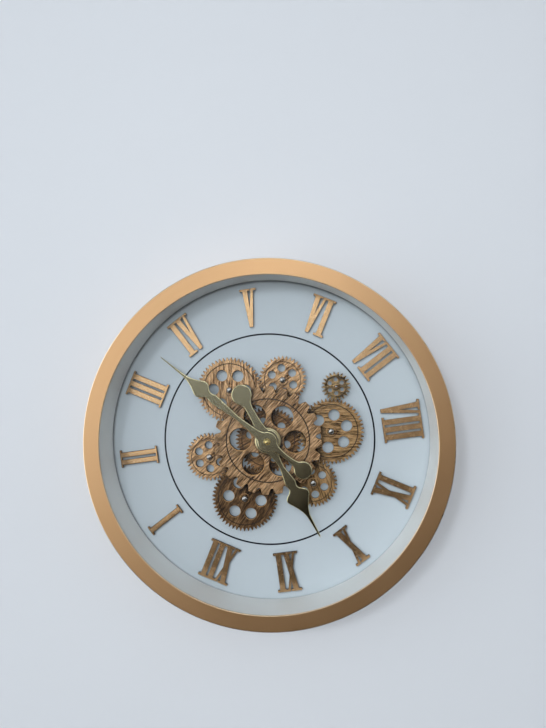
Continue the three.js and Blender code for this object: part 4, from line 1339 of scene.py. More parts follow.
@dataclass
class Train:
    """The wheels in mesh, their axles, and the bush and nut at the centre."""

    wheel: Blank = Blank(50, 23.3, 8.0, 37.6)
    idler: Blank = Blank(36, 16.8, 5.5, 25.8, groove_width=0.7)
    pinion: Blank = Blank(
        21, 9.8, 3.0, 14.3, 1.9, 3.4, 0.6, 0.6, hub_front=-41.0, edge=0.25, hole_steps=24
    )
    fine: Blank = Blank(50, 27.0, 5.5, 37.6, 8.6, 12.0, hub_front=-39.0, hole_steps=28)
    broad: Blank = Blank(
        24, 38.6, 15.6, 58.7, 8.6, 12.0, 1.3, 1.2, -47.0, hub_front=-47.0, hub_back=-39.0, edge=0.45,
        hole_steps=72,
    )
    rivet: float = 5.0
    pin: float = 2.5
    shoulder: float = 6.5
    shoulder_rise: float = 1.2
    head: float = 4.0
    head_rise: float = 2.2
    chamfer: float = 0.2

    def wheels(self) -> None:
        """The centre's wheels, the three round them with their idlers, and the small driving wheel."""
        pale, gold = WoodTone.PALE, WoodTone.GOLD
        middle = Wheel("centre_wheel", self.fine, 7.8, WoodTone.BROWN, 50.0)
        middle.build()
        BroadWheel("main_wheel", self.broad, 19.8, WoodTone.TAN, 68.0, 4.3).build()
        plans = (
            ("top_wheel", 14.0, WoodTone.UMBER, 80.0, "right_idler", 56.0, pale, 62.0),
            ("right_wheel", 20.5, pale, 112.0, "bottom_idler", 57.0, pale, 60.0),
            ("left_wheel", 41.3, gold, 20.0, "left_idler", 2.2, gold, 130.0),
        )
        for name, holes, tone, grain, idler_name, *idler_look in plans:
            wheel = Wheel(name, self.wheel, holes, tone, grain)
            wheel.follow(middle, name)
            self.axle(f"{name}_axle", wheel.centre)
            idler = Wheel(idler_name, self.idler, *idler_look)
            idler.follow(wheel, idler_name)
            self.axle(f"{idler_name}_axle", idler.centre)
        Wheel("drive_pinion", self.pinion, 55.0, WoodTone.OLIVE, 35.0).follow(wheel, "drive")

    def axle(self, node: str, at: Vector) -> None:
        """Turns a riveted post with a shoulder and a polished domed head.

        Args:
            node: the axle's node.
            at: its axis.
        """
        front, back = depth(node)
        board, board_back = depth("dial_board")
        rivet, pin, shoulder, head, soft = self.rivet, self.pin, self.shoulder, self.head, self.chamfer
        step, seat = board - self.shoulder_rise, front + self.head_rise
        brow = seat - 0.3
        profile = [(0, back), (rivet * 0.55, back), (rivet * 0.85, back - 0.4), (rivet, back - 1.0)]
        profile += [(rivet, board_back), (pin, board_back), (pin, board)]
        profile += [(shoulder - soft, board), (shoulder, board - soft)]
        profile += [(shoulder, step + soft), (shoulder - soft, step), (pin, step)]
        profile += [(pin, seat), (head - soft, seat), (head, brow)]
        profile += dome(head, brow, front - brow, range(15, 90, 15)) + [(0, front)]
        bench = Bench().turned(profile, 40)
        bench.paint(1, lambda spot, normal: spot.y > board)
        bench.stand(f"domed_{node}", node, STEEL, ZINC, at=at, crease=40)

    def bush(self) -> None:
        """Turns the fixed bush with its flange."""
        front, back = depth("centre_bush")
        bore, outer, flange, soft, lip = 6.1, 8.2, 13.0, self.chamfer, 0.3
        rise = back - self.shoulder_rise
        profile = [(bore, back), (flange - soft, back), (flange, back - soft), (flange, rise), (outer, rise)]
        profile += [(outer, front + lip), (outer - lip, front), (bore, front)]
        Bench().turned(profile, 72).stand("turned_bush", "centre_bush", BRASS_WARM, crease=40)

    def nut(self) -> None:
        """Turns the polished nut in front of the wheels."""
        front, back = depth("bush_nut")
        radius, inner, brow, soft, lip = radius_of("bush_nut"), 8.6, 1.8, self.chamfer, 0.3
        profile = [(inner, back), (radius - soft, back), (radius, back - soft)]
        profile += rounding(brow, 0, -90, 8, (radius - brow, front + brow))
        profile += [(inner + lip, front), (inner, front + lip)]
        Bench().turned(profile).stand("polished_bush_nut", "bush_nut", BRASS_PALE, crease=40)

    def build(self) -> None:
        """Makes the whole train."""
        for make in (self.wheels, self.bush, self.nut):
            make()


# Hands and their shafts


@dataclass(frozen=True)
class HandShape:
    """Lengths along a spade hand and half widths across it."""

    reach: float
    tip_half: float
    needle_at: float
    needle_half: float
    leaf_at: float
    leaf_half: float
    notch_at: float
    notch_half: float
    bump_at: float
    bump_half: float
    neck_at: float
    neck_half: float
    hub: float
    tail_neck_at: float
    tail_neck_half: float
    tail_reach: float
    tail_disc: float
    hub_join: float = 55.0
    steps: int = 10

    def tail(self) -> list[Vector]:
        """Right side from the end of the tail to the hub.

        Returns:
            The points, both ends included.
        """
        hub, steps = polar(self.hub, -self.hub_join), self.steps
        neck = Vector((self.tail_neck_half, -self.tail_neck_at))
        points = arc(self.tail_disc, -90, 50, 3 * steps, Vector((0, -self.tail_reach)))
        shoulder = Vector((neck.x, self.tail_disc - self.tail_reach))
        points += bezier([points[-1], shoulder, neck], steps)[1:]
        return points + bezier([neck, Vector((neck.x, hub.y * 1.5)), hub], steps)[1:]

    def side(self) -> list[Vector]:
        """Right side of the hand, from the end of its tail to its tip.

        Returns:
            The points in order.
        """
        join, steps, short = self.hub_join, self.steps, self.steps // 2
        points = self.tail()
        points += arc(self.hub, -join, join, 2 * steps)[1:]
        neck, bump = Vector((self.neck_half, self.neck_at)), Vector((self.bump_half, self.bump_at))
        notch, leaf = Vector((self.notch_half, self.notch_at)), Vector((self.leaf_half, self.leaf_at))
        needle = Vector((self.needle_half, self.needle_at))
        root = Vector((neck.x * 1.2, polar(self.hub, join).y * 1.6))
        points += bezier([points[-1], root, neck], steps)[1:]
        points += bezier([neck, neck.lerp(bump, 0.6), bump], short)[1:]
        points += bezier([bump, Vector((bump.x, bump.y + (notch.y - bump.y) * 0.6)), notch], short)[1:]
        half_way, run = (notch.y + leaf.y) / 2, needle.y - leaf.y
        points += bezier([notch, Vector((notch.x, half_way)), Vector((leaf.x, half_way)), leaf], steps)[1:]
        belly, waist = Vector((leaf.x, leaf.y + run * 0.15)), Vector((needle.x, leaf.y + run * 0.5))
        points += bezier([leaf, belly, waist, needle], steps)[1:]
        return points + [Vector((self.tip_half, self.reach))]

    def outline(self) -> list[Vector]:
        """The whole outline, anticlockwise from the end of the tail."""
        right = self.side()
        return right + [Vector((-point.x, point.y)) for point in reversed(right[1:])]


@dataclass
class Hands:
    """Hour hand, minute hand, their shafts and the domed nut."""

    hour_shape: HandShape = HandShape(
        150, 1.1, 122, 2.3, 87, 17, 72, 6, 64, 7.6, 42, 3.2, 16.5, 50, 5.2, 74, 14.3
    )
    minute_shape: HandShape = HandShape(
        190, 0.5, 150, 1.8, 118, 12.5, 102, 4.6, 93, 6.4, 55, 3, 13.5, 34, 3.2, 63, 12.3
    )
    hour: float = 10.0
    minute: float = 17.7
    thickness: float = 1.2
    bevel: tuple[Level, ...] = ((0.0, 0.95), (0.12, 0.62), (0.28, 0.32), (0.5, 0.1), (0.8, 0.0))
    narrowest: float = 0.3
    arbor: float = 1.97
    pipe: float = 3.2
    cap: float = 4.8
    cap_shank: float = 1.9
    cap_collar: float = 1.9
    cap_dome: float = 3.7

    def narrowed(self, outline: Ring, inset: float) -> list[Vector]:
        """The outline drawn in for the bevel, never past the middle line of the hand.

        Args:
            outline: the hand's outline.
            inset: how far it is drawn in.

        Returns:
            The narrower outline.
        """
        points = []
        for point, tight in zip(outline, shrunk(outline, inset)):
            least = abs(point.x) * self.narrowest
            held = max(abs(tight.x), least) if tight.x * point.x > 0 else least
            points.append(Vector((math.copysign(held, point.x), tight.y)))
        return points

    def blade(self, node: str, shape: HandShape, bore: float, collet: float, turn: float) -> None:
        """Cuts a hand with bevelled edges, bored and with the collet behind it.

        Args:
            node: node that it stands for.
            shape: the hand's lengths and widths.
            bore: radius of its hole.
            collet: radius of the collet.
            turn: clockwise angle from twelve, in degrees.
        """
        front, back = depth(node)
        face_back, soft, slight = front + self.thickness, 0.3, 0.2
        outline = shape.outline()
        levels = [(front + drop, inset) for drop, inset in self.bevel]
        levels += [(face_back - 0.1, 0.0), (face_back, 0.1)]
        bench = Bench()
        rims = bench.loft([raised(self.narrowed(outline, inset), level) for level, inset in levels])
        profile = [(bore + soft, front), (bore, front + soft), (bore, back - slight), (bore + slight, back)]
        profile += [(collet - soft, back), (collet, back - soft), (collet, face_back)]
        for rim, edge in zip(rims, bench.rings(profile, 40)):
            bench.cap(rim, edge)
        # The bevels get the painted highlight, the faces the painted dark reflection.
        bench.paint(1, lambda spot, normal: -0.995 < normal.y < -0.05)
        bench.stand(f"spade_{node}", node, BRASS_PAINTED_DARK, BRASS_PAINTED_HIGHLIGHT, turn=-turn, crease=30)

    def shafts(self) -> None:
        """Turns the hour pipe and the minute arbor."""
        shafts = (("pipe", "hour_pipe", self.arbor, 0.2), ("arbor", "minute_arbor", 0, 0.3))
        for name, node, bore, soft in shafts:
            (front, back), radius = depth(node), radius_of(node)
            profile = [(bore, back), (radius, back), (radius, front + soft)]
            profile += [(radius - soft, front), (bore, front)]
            Bench().turned(profile, 40).stand(f"turned_{name}", node, BRASS_WARM, crease=40)

    def nut(self) -> None:
        """Turns the domed nut with a small collar."""
        front, back = depth("hand_nut")
        radius, brim, dome_radius, soft, lip = self.cap, back - self.cap_collar, self.cap_dome, 0.2, 0.4
        foot, shank, sunk = brim - 0.6, self.cap_shank, back - 1.0
        profile = [(0, sunk), (shank, sunk), (shank, back), (radius - soft, back)]
        profile += [(radius, back - soft), (radius, brim + lip), (radius - lip, brim)]
        profile += [(dome_radius + 0.3, brim - 0.1), (dome_radius, foot)]
        profile += dome(dome_radius, foot, front - foot, range(15, 90, 15)) + [(0, front)]
        Bench().turned(profile, 48).stand("domed_hand_nut", "hand_nut", BRASS_WARM, crease=50)

    def build(self) -> None:
        """Makes both hands at the time that the clock shows."""
        self.blade("hour_hand", self.hour_shape, self.pipe, 6.0, self.hour * 30 + self.minute / 2)
        self.blade("minute_hand", self.minute_shape, self.arbor, 4.0, self.minute * 6)
        self.shafts()
        self.nut()


# Movement, motor, supply, lead and hanger behind the dial


@dataclass
class PanScrew:
    """A pan-head screw with a cross slot; its head faces the wall."""

    head: float = 3.2
    top: float = 2.1
    rise: float = 1.8
    brim: float = 0.5
    point: float = 0.3
    shank: float = 1.4
    thread: float = 0.22
    pitch: float = 0.9
    slot_reach: float = 1.5
    slot_half: float = 0.34
    slot_depth: float = 1.0

    def build(self, name: str, node: str) -> None:
        """Turns the screw of a node and cuts its slot.

        Args:
            name: name of the piece.
            node: node that it stands for.
        """
        tip, top = depth(node)
        seat, core, soft = top - self.rise, self.shank - self.thread, 0.15
        level = tip + self.pitch
        profile = [(self.point, tip), (core, level)]
        while level + self.pitch < seat - 0.2:
            profile += [(self.shank, level + self.pitch * 0.5), (core, level + self.pitch)]
            level += self.pitch
        profile += [(self.shank, seat), (self.head - soft, seat), (self.head, seat + soft)]
        brim = seat + self.brim
        profile += [(self.head, brim)] + dome(self.head - self.top, brim, top - brim, (25, 50, 72), self.top)
        profile += [(self.top, top)]
        bench = Bench()
        point, rim = bench.rings(profile, 28)
        slot_levels = [(top, 0), (top - self.slot_depth, 0.12)]
        slot = bench.wall(cross(self.slot_reach, self.slot_half), slot_levels, hole=True)
        bench.close(point, slot[1])
        bench.cap(rim, slot[0])
        bench.stand(name, node, ZINC, at=axis_of(node), crease=35)


@dataclass
class DryCell:
    """A round cell that lies along X: jacket, band, crimped ends and terminal."""

    radius: float = 7.0
    length: float = 50.5
    terminal: float = 2.7
    terminal_rise: float = 1.5
    band_from: float = 11.0
    jacket_to: float = 23.0

    def build(self, name: str, node: str) -> None:
        """Turns the cell of a node.

        Args:
            name: name of the piece.
            node: node that it stands for.
        """
        low, high = extent(node)
        end, r, t = self.length / 2, self.radius, self.terminal
        can, crimp = end - self.terminal_rise, r * 0.96
        profile = [(0, 0.25 - end), (r * 0.6, 0.25 - end), (r * 0.66, -end), (r * 0.9, -end)]
        profile += [(crimp, 0.3 - end), (crimp, 0.9 - end), (r, 1.0 - end), (r, self.band_from)]
        profile += [(r, self.jacket_to), (crimp, self.jacket_to + 0.1), (r * 0.94, can - 0.3)]
        profile += [(r * 0.88, can), (r * 0.72, can), (r * 0.68, can - 0.4), (t + 0.5, can - 0.4), (t, can)]
        profile += [(t, end - 0.35), (t - 0.35, end), (0, end)]
        bench = Bench().turned(profile, 40)
        bench.lie(-90, Vector((0, (low.y + high.y) / 2, 0)))
        bench.paint(1, lambda spot, normal: self.band_from < spot.x < self.jacket_to)
        bench.paint(2, lambda spot, normal: spot.x > self.jacket_to or spot.x < 0.95 - end)
        bench.stand(name, node, JACKET, JACKET_BAND, STEEL, at=axis_of(node), crease=30)


@dataclass
class Movement:
    """Quartz movement: ribbed case with its threaded post, open cell bay, contacts and knurled knob."""

    corner: float = 3.0
    seam: float = 0.35
    bay_half: float = 25.55
    bay_middle: float = -18.5
    bay_half_height: float = 7.3
    bay_floor: float = 1.0
    notch_reach: float = 1.5
    notch_half: float = 3.6
    knob_at: float = 15.0
    knob_shaft: float = 2.0
    knob_rise: float = 0.3
    flutes: int = 36
    flute_depth: float = 0.4
    collar: tuple[float, float, float] = (9.6, 8.2, 0.9)
    post_wall: float = 1.2
    post_play: float = 0.3
    thread_pitch: float = 1.0
    thread_depth: float = 0.35
    spring_turns: float = 3.0
    spring_radius: float = 3.1
    spring_taper: float = 0.8
    spring_wire: float = 0.3

    def bay(self) -> list[Vector]:
        """Outline of the bay, with a notch for the contact at each end.

        Returns:
            The closed outline.
        """
        half, notch, middle = self.bay_half_height, self.notch_half, self.bay_middle
        outline = []
        for way in (1, -1):
            near, far = way * self.bay_half, way * (self.bay_half + self.notch_reach)
            side = [(near, -half), (near, -notch), (far, -notch), (far, notch), (near, notch), (near, half)]
            outline += [Vector((x, middle + z)) for x, z in side][::way]
        return outline

    def case(self) -> None:
        """Moulds the case in two halves, with the threaded post in front."""
        low, high = extent("movement_case")
        back, front, half = high.y, depth("dial_board")[1], (high.x - low.x) / 2
        mid = (back + front) / 2
        levels = with_seam(plate_levels(back, front, 0.8, 0.4), mid, self.seam)
        bench = Bench()
        rims = bench.wall(filleted(rectangle(-half, half, -half, half), self.corner, 5), levels)
        bay_levels = [(back, 0.35), (back - 0.35, 0), (front + self.bay_floor, 0)]
        bay = bench.wall(self.bay(), bay_levels, hole=True)
        wide, narrow, rise = self.collar
        hole, soft, sunk = self.knob_shaft + 0.3, 0.2, back - 0.1
        profile = [(wide, back), (wide - soft, back + rise), (narrow + soft, back + rise), (narrow, sunk)]
        profile += [(hole + 0.3, sunk), (hole, back - 0.4), (hole, back - 8.3)]
        socket = bench.rings(profile, 56, Vector((self.knob_at, self.knob_at)))
        bench.cap(rims[0], bay[0], socket[0])
        post = self.post(bench, mid)
        bench.cap(rims[1], post[0])
        bench.close(bay[1], socket[1], post[1])
        self.ribs(bench, half, back)
        bench.stand("movement_body", "movement_case", BLACK, crease=30)

    def post(self, bench: Bench, floor: float) -> tuple[Edges, Edges]:
        """Draws the threaded post and its bore.

        Args:
            bench: the case's bench.
            floor: level at which the bore ends.

        Returns:
            The edges of the post's foot and of the bore's floor.
        """
        bore = radius_of("hour_pipe") + self.post_play
        post, pitch, soft = bore + self.post_wall, self.thread_pitch, 0.2
        (board, front), tip = depth("dial_board"), depth("movement_case")[0]
        profile = [(post + 0.8, front), (post, front - 0.8)]
        level = board - 1.0
        while level > tip + 1.4:
            profile += [(post, level), (post - self.thread_depth, level - pitch / 2)]
            level -= pitch
        profile += [(post, level), (post, tip + 0.4), (post - 0.3, tip), (bore + soft, tip)]
        return bench.rings(profile + [(bore, tip + soft), (bore, floor)], 56)

    def ribs(self, bench: Bench, half: float, back: float) -> None:
        """Adds ribs, snap hooks and corner pegs.

        Args:
            bench: the case's bench.
            half: half the case's width.
            back: level of its back face.
        """
        foot, hook = back - 0.3, (back - 7.5, back - 1.2)
        for i in range(5):
            x = -half + 6.0 + i * 3.2
            bench.block((x - 0.5, x + 0.5), (foot, back + 0.55), (-4.0, 20.0), 0.22)
        for side in (-half, half):
            bench.block((-4.0, 4.0), hook, (side - 0.5, side + 0.5), 0.25)
            bench.block((side - 0.5, side + 0.5), hook, (6.0, 14.0), 0.25)
        for x, z in ((-half + 5.5, half - 4.6), (2.0, half - 4.6), (half - 3.6, -4.5)):
            bench.peg(Vector((x, z)), 2.0, foot, back + 0.5)

    def contacts(self) -> None:
        """Winds the spring contact and bends the flat one, at the ends of the bay."""
        low, high = extent("movement_cell")
        level, middle, face = (low.y + high.y) / 2, self.bay_middle, self.bay_half + self.notch_reach
        start, end = 0.35 - face, 0.2 - self.bay_half
        turns = self.spring_turns
        count = int(turns * 20)
        path = []
        for i in range(count + 1):
            share = i / count
            spot = polar(self.spring_radius - self.spring_taper * share, FULL_TURN * turns * share)
            path.append(Vector((start + (end - start) * share, level + spot.x, middle + spot.y)))
        spring = Bench()
        spring.tube(path, circle(self.spring_wire, 8), Vector((1, 0, 0)))
        spring.fit("cell_spring", "movement_case", "steel", STEEL, crease=60)
        plate = Bench()
        plate.block((face - 0.5, face - 0.1), (level - 5.0, level + 5.5), (middle - 3.3, middle + 3.3), 0.12)
        plate.block((face - 1.1, face - 0.3), (level - 1.6, level + 1.6), (middle - 1.6, middle + 1.6), 0.3)
        plate.fit("cell_contact", "movement_case", "steel", STEEL, crease=40)

    def knob(self) -> None:
        """Moulds the knurled setting knob on its shaft."""
        radius, (tip, face) = radius_of("setting_knob"), depth("setting_knob")
        under, sunk, step = depth("movement_case")[1] + self.knob_rise, face - 0.7, FULL_TURN / self.flutes
        outline = []
        for i in range(self.flutes):
            turn = step * i
            outline += [polar(radius, turn), polar(radius, turn + step * 0.4)]
            outline += [polar(radius - self.flute_depth, turn + step * 0.7)]
        bench = Bench()
        rims = bench.wall(outline, plate_levels(face, under, 0.6, 0.2))
        profile = [(radius - 1.5, face), (radius - 1.8, sunk), (2.2, sunk), (1.9, face - 0.3)]
        dish = bench.rings(profile + [(1.6, face - 0.2)], 48)
        shaft = bench.rings([(self.knob_shaft, under), (self.knob_shaft, tip + 0.3), (1.7, tip)], 24)
        bench.cap(rims[0], dish[0])
        bench.cap(rims[1], shaft[0])
        bench.close(dish[1], shaft[1])
        bench.block((-0.45, 0.45), (face - 0.9, face - 0.25), (2.6, radius - 2.2), 0.15)
        bench.stand("knurled_knob", "setting_knob", BLACK, at=axis_of("setting_knob"), crease=35)

    def build(self) -> None:
        """Makes the movement."""
        self.case()
        self.contacts()
        DryCell().build("movement_dry_cell", "movement_cell")
        self.knob()


@dataclass
class Motor:
    """Geared motor that drives the small wheel: two-part gear housing, steel can, shaft and screws."""

    body_half: float = 13.0
    corner: float = 2.0
    seam: float = 0.3
    seam_shift: float = 2.0
    ears: Ears = Ears()
    shaft_hole: float = 1.9
    shaft_hole_end: float = -15.7
    can_radius: float = 7.4

    def housing(self) -> None:
        """Moulds the gear housing with its ears, pegs and ribs."""
        low, high = extent("gearbox")
        half, back, front = (high.x - low.x) / 2, high.y, low.y
        middle = (back + front) / 2 + self.seam_shift
        levels = with_seam(plate_levels(back, front, 0.6, 0.2), middle, self.seam)
        bench = Bench()
        corners = rectangle(-half, half, -self.body_half, self.body_half)
        rims = bench.wall(filleted(corners, self.corner, 4), levels)
        ring, boss = back + 0.5, back + 0.8
        profile = [(9.0, back), (8.8, ring), (6.4, ring), (6.2, back)]
        cover = bench.rings(profile + [(3.4, back), (3.2, boss), (1.8, boss), (1.6, back + 0.3)], 48)
        shaft = bench.rings([(self.shaft_hole, front), (self.shaft_hole, self.shaft_hole_end)], 24)
        bench.cap(rims[0], cover[0])
        bench.cap(rims[1], shaft[0])
        bench.close(cover[1], shaft[1])
        bench.ears(self.ears, (high.z - low.z) / 2 - self.ears.half, front)
        foot, inset = back - 0.3, 3.6
        for way in (-1, 1):
            for side in (-1, 1):
                at = Vector((side * (half - inset), way * (self.body_half - inset)))
                bench.peg(at, 2.1, foot, back + 0.6)
            bench.block((11.5, 16.0), (foot, back + 0.4), (way * 3.0 - 0.4, way * 3.0 + 0.4), 0.15)
        bench.stand("gear_housing", "gearbox", BLACK, at=millimetres(PIVOTS["drive"]), crease=30)

    def can(self) -> None:
        """Draws the motor's can with a rolled groove and a bearing boss."""
        low, high = extent("motor_can")
        length, r, roll = high.x - low.x, self.can_radius, self.can_radius - 0.35
        end, sunk = length - 1.0, length - 0.4
        profile = [(0, 0), (r - 0.2, 0), (r, 0.2), (r, 2.2), (roll, 2.5), (roll, 3.1), (r, 3.4)]
        profile += [(r, end - 1.2), (r - 0.3, end - 0.5), (r - 0.9, end - 0.1), (r - 1.4, end)]
        profile += [(3.4, end), (3.2, length - 0.2), (3.0, length), (1.3, length), (1.1, sunk), (0, sunk)]
        bench = Bench().turned(profile, 64)
        bench.lie(90, Vector((length / 2, (low.y + high.y) / 2, 0)))
        bench.stand("drawn_can", "motor_can", ZINC, at=axis_of("motor_can"), crease=35)

    def shaft(self) -> None:
        """Turns the driving shaft."""
        (tip, end), r, soft, blunt = depth("motor_shaft"), radius_of("motor_shaft"), 0.2, 0.3
        profile = [(0, end), (r - soft, end), (r, end - soft), (r, tip + blunt), (r - blunt, tip), (0, tip)]
        at = axis_of("motor_shaft")
        Bench().turned(profile, 28).stand("driving_shaft", "motor_shaft", STEEL, at=at, crease=35)

    def build(self) -> None:
        """Makes the motor."""
        self.housing()
        for end in ("lower", "upper"):
            PanScrew().build(f"housing_pan_screw_{end}", f"gearbox_screw_{end}")
        self.can()
        self.shaft()


@dataclass
class Supply:
    """Battery box with grooved rails, sliding lid, two cells, contacts, switch and screws."""

    at: Vector = Vector((66.0, -112.0))
    wall: float = 2.6
    inner_x: float = 25.55
    inner_z: float = 14.8
    groove: float = 1.3
    groove_levels: Level = (-7.25, -5.2)
    floor: float = 2.3
    rim_level: float = -4.2
    lid_levels: Level = (-7.1, -5.5)
    ears: Ears = Ears()
    ribs: int = 7
    switch_length: float = 9.0
    switch_half: float = 9.0
    slot_half_x: float = 2.0
    slot_half_z: float = 4.5
    slot_floor: float = -21.4
    ridge_pitch: float = 3.0

    def channel(self) -> list[Vector]:
        """Section of the box across its length: walls with a groove for the lid.

        Returns:
            The closed section as (z, depth) points.
        """
        inner, outer, edge = self.inner_z, self.inner_z + self.wall, self.inner_z + self.groove
        (low, high), rim, front = self.groove_levels, self.rim_level, depth("battery_box")[0]
        half = [(outer, front), (outer, rim), (inner, rim), (inner, high), (edge, high), (edge, low)]
        half += [(inner, low), (inner, front + self.floor)]
        return [Vector(spot) for spot in half] + [Vector((-z, level)) for z, level in reversed(half)]

    def box(self) -> None:
        """Moulds the box, its end walls, its ears, its ribs and the switch housing."""
        front, back = depth("battery_box")
        end, outer, soft, slight, inset = self.inner_x + self.wall, self.inner_z + self.wall, 0.35, 0.02, 0.3
        bench = Bench()
        section = self.channel()
        rings = []
        for x, drawn_in in ((-end, soft), (-end + soft, 0), (end - soft, 0), (end, soft)):
            rings.append([Vector((x, p.y, p.x)) for p in shrunk(section, drawn_in)])
        bench.close(*bench.loft(rings))
        across = (-outer + inset, outer - inset)
        bench.block((-end + slight, -self.inner_x), (front + slight, back - slight), across, inset)
        bench.block((self.inner_x, end - slight), (front + slight, self.groove_levels[0]), across, inset)
        self.switch_housing(bench)
        bench.ears(self.ears, outer + self.ears.half, front)
        first = 4 - self.inner_x
        for i in range(self.ribs):
            x = first - i * first / 3
            if abs(x) >= self.ears.half + 1:
                for z in (-outer, outer):
                    rib = (front + 0.5, self.rim_level - 1.5)
                    bench.block((x - 0.6, x + 0.6), rib, (z - 0.5, z + 0.5), 0.25)
        bench.stand("cell_box", "battery_box", BLACK, at=self.at, crease=30)

    def switch_housing(self, bench: Bench) -> None:
        """Adds the housing of the switch with its slot and its on and off marks.

        Args:
            bench: the box's bench.
        """
        end, front = -self.inner_x - self.wall, depth("battery_box")[0]
        back, length, half = self.lid_levels[1], self.switch_length, self.switch_half
        outline = filleted(rectangle(end - length, end + 0.6, -half, half), 0.9)
        rims = bench.wall(outline, plate_levels(back, front, 0.5, 0.2))
        mid, x, z = end - length / 2, self.slot_half_x, self.slot_half_z
        slot_levels = [(back, 0.3), (back - 0.3, 0), (self.slot_floor, 0)]
        slot = bench.wall(rectangle(mid - x, mid + x, -z, z), slot_levels, hole=True)
        bench.cap(rims[0], slot[0])
        bench.close(slot[1], rims[1])
        foot, top = back - 0.2, back + 0.3
        bench.block((mid - 0.3, mid + 0.3), (foot, top), (5.6, 7.8), 0.1)
        mark = [(1.2, foot), (1.15, top), (0.75, top), (0.7, foot)]
        bench.cap(*bench.rings(mark, 24, Vector((mid, -6.7))))

    def contacts(self) -> None:
        """Adds the contact strips at both ends of the cells."""
        low, high = extent("motor_cell_lower")
        levels = ((low.y + high.y) / 2 - 5.5, self.lid_levels[0] - 0.6)
        bench = Bench()
        for x in (0.12 - self.inner_x, self.inner_x - 0.12):
            bench.block((x - 0.08, x + 0.08), levels, (-12.0, 12.0), 0.03, 1)
        bench.fit("cell_contacts", "battery_box", "steel", BRASS_WARM, at=self.at, crease=40)

    def lid(self) -> None:
        """Moulds the sliding lid with its grip ridges, its rails and the arrow of its way."""
        low, high = extent("battery_lid")
        front, back = self.lid_levels
        start, end, half = low.x - self.at.x, high.x - self.at.x, (high.z - low.z) / 2
        bench = Bench()
        bench.slab(filleted(rectangle(start, end, -half, half), 0.8), plate_levels(back, front, 0.25, 0.25))
        for i in range(1, 4):
            x, z = self.inner_x - i * self.ridge_pitch, self.inner_z / 2
            bench.block((x - 0.7, x + 0.7), (back - 0.3, high.y), (-z, z), 0.35)
        arrow = [(0, -1.2), (6, -1.2), (6, -3.4), (11, 0), (6, 3.4), (6, 1.2), (0, 1.2)]
        bench.slab([Vector(spot) for spot in arrow], [(back + 0.35, 0.15), (back + 0.2, 0), (back - 0.2, 0)])
        for z in (2.0 - self.inner_z, self.inner_z - 2.0):
            bench.block((start + 3, end - 3), (back - 0.2, back + 0.25), (z - 0.4, z + 0.4), 0.12)
        bench.stand("sliding_lid", "battery_lid", BLACK, at=self.at, crease=30)

    def slider(self) -> None:
        """Moulds the switch's slider with its ribbed thumb face."""
        low, high = extent("switch_slider")
        x, z, rib = (high.x - low.x) / 2, (high.z - low.z) / 2, 0.35
        bench = Bench()
        bench.block((-x, x), (low.y, high.y - 0.5), (-z, z), 0.3)
        for middle in (-1.35, 0, 1.35):
            bench.block((-x + 0.3, x - 0.3), (high.y - 0.8, high.y), (middle - rib, middle + rib), 0.2)
        bench.stand("switch_thumb", "switch_slider", RED, at=axis_of("switch_slider"), crease=35)

    def build(self) -> None:
        """Makes the supply."""
        for make in (self.box, self.contacts, self.lid, self.slider):
            make()
        for end in ("lower", "upper"):
            DryCell().build(f"motor_dry_cell_{end}", f"motor_cell_{end}")
            PanScrew().build(f"box_pan_screw_{end}", f"battery_box_screw_{end}")


@dataclass
class Lead:
    """Two-core lead from the switch to the motor, held by a saddle clip."""

    core: float = 0.78
    spread: float = 0.7
    lift: float = 0.05
    start_z: float = -112.0
    straight: float = 9.0
    bends: tuple[Level, ...] = ((8.0, -117.0), (-14.0, -114.0))
    into: float = 0.5
    clip_edge: float = 0.3

    def build(self) -> None:
        """Sweeps two joined cores along the lead's route and refines the clip."""
        low, high = extent("motor_lead")
        level, end_z = depth("dial_board")[1] + self.core + self.lift, millimetres(PIVOTS["drive"]).y
        stops = [(high.x, self.start_z), (high.x - self.straight, self.start_z), *self.bends]
        stops += [(low.x + self.straight, end_z), (low.x, end_z)]
        path = curve_through([Vector((x, level, z)) for x, z in stops], 12)
        path[0] += Vector((self.into, 0, 0))
        path[-1] -= Vector((self.into, 0, 0))
        right = arc(self.core, -140, 140, 12, Vector((self.spread, 0)))
        left = arc(self.core, 40, 320, 12, Vector((-self.spread, 0)))
        bench = Bench()
        bench.tube(path, right + left, Vector((0, 1, 0)))
        bench.stand("two_core_lead", "motor_lead", LEAD_SHEATH, crease=60)
        refined("saddle_clip", "lead_clip", self.clip_edge, [BLACK])


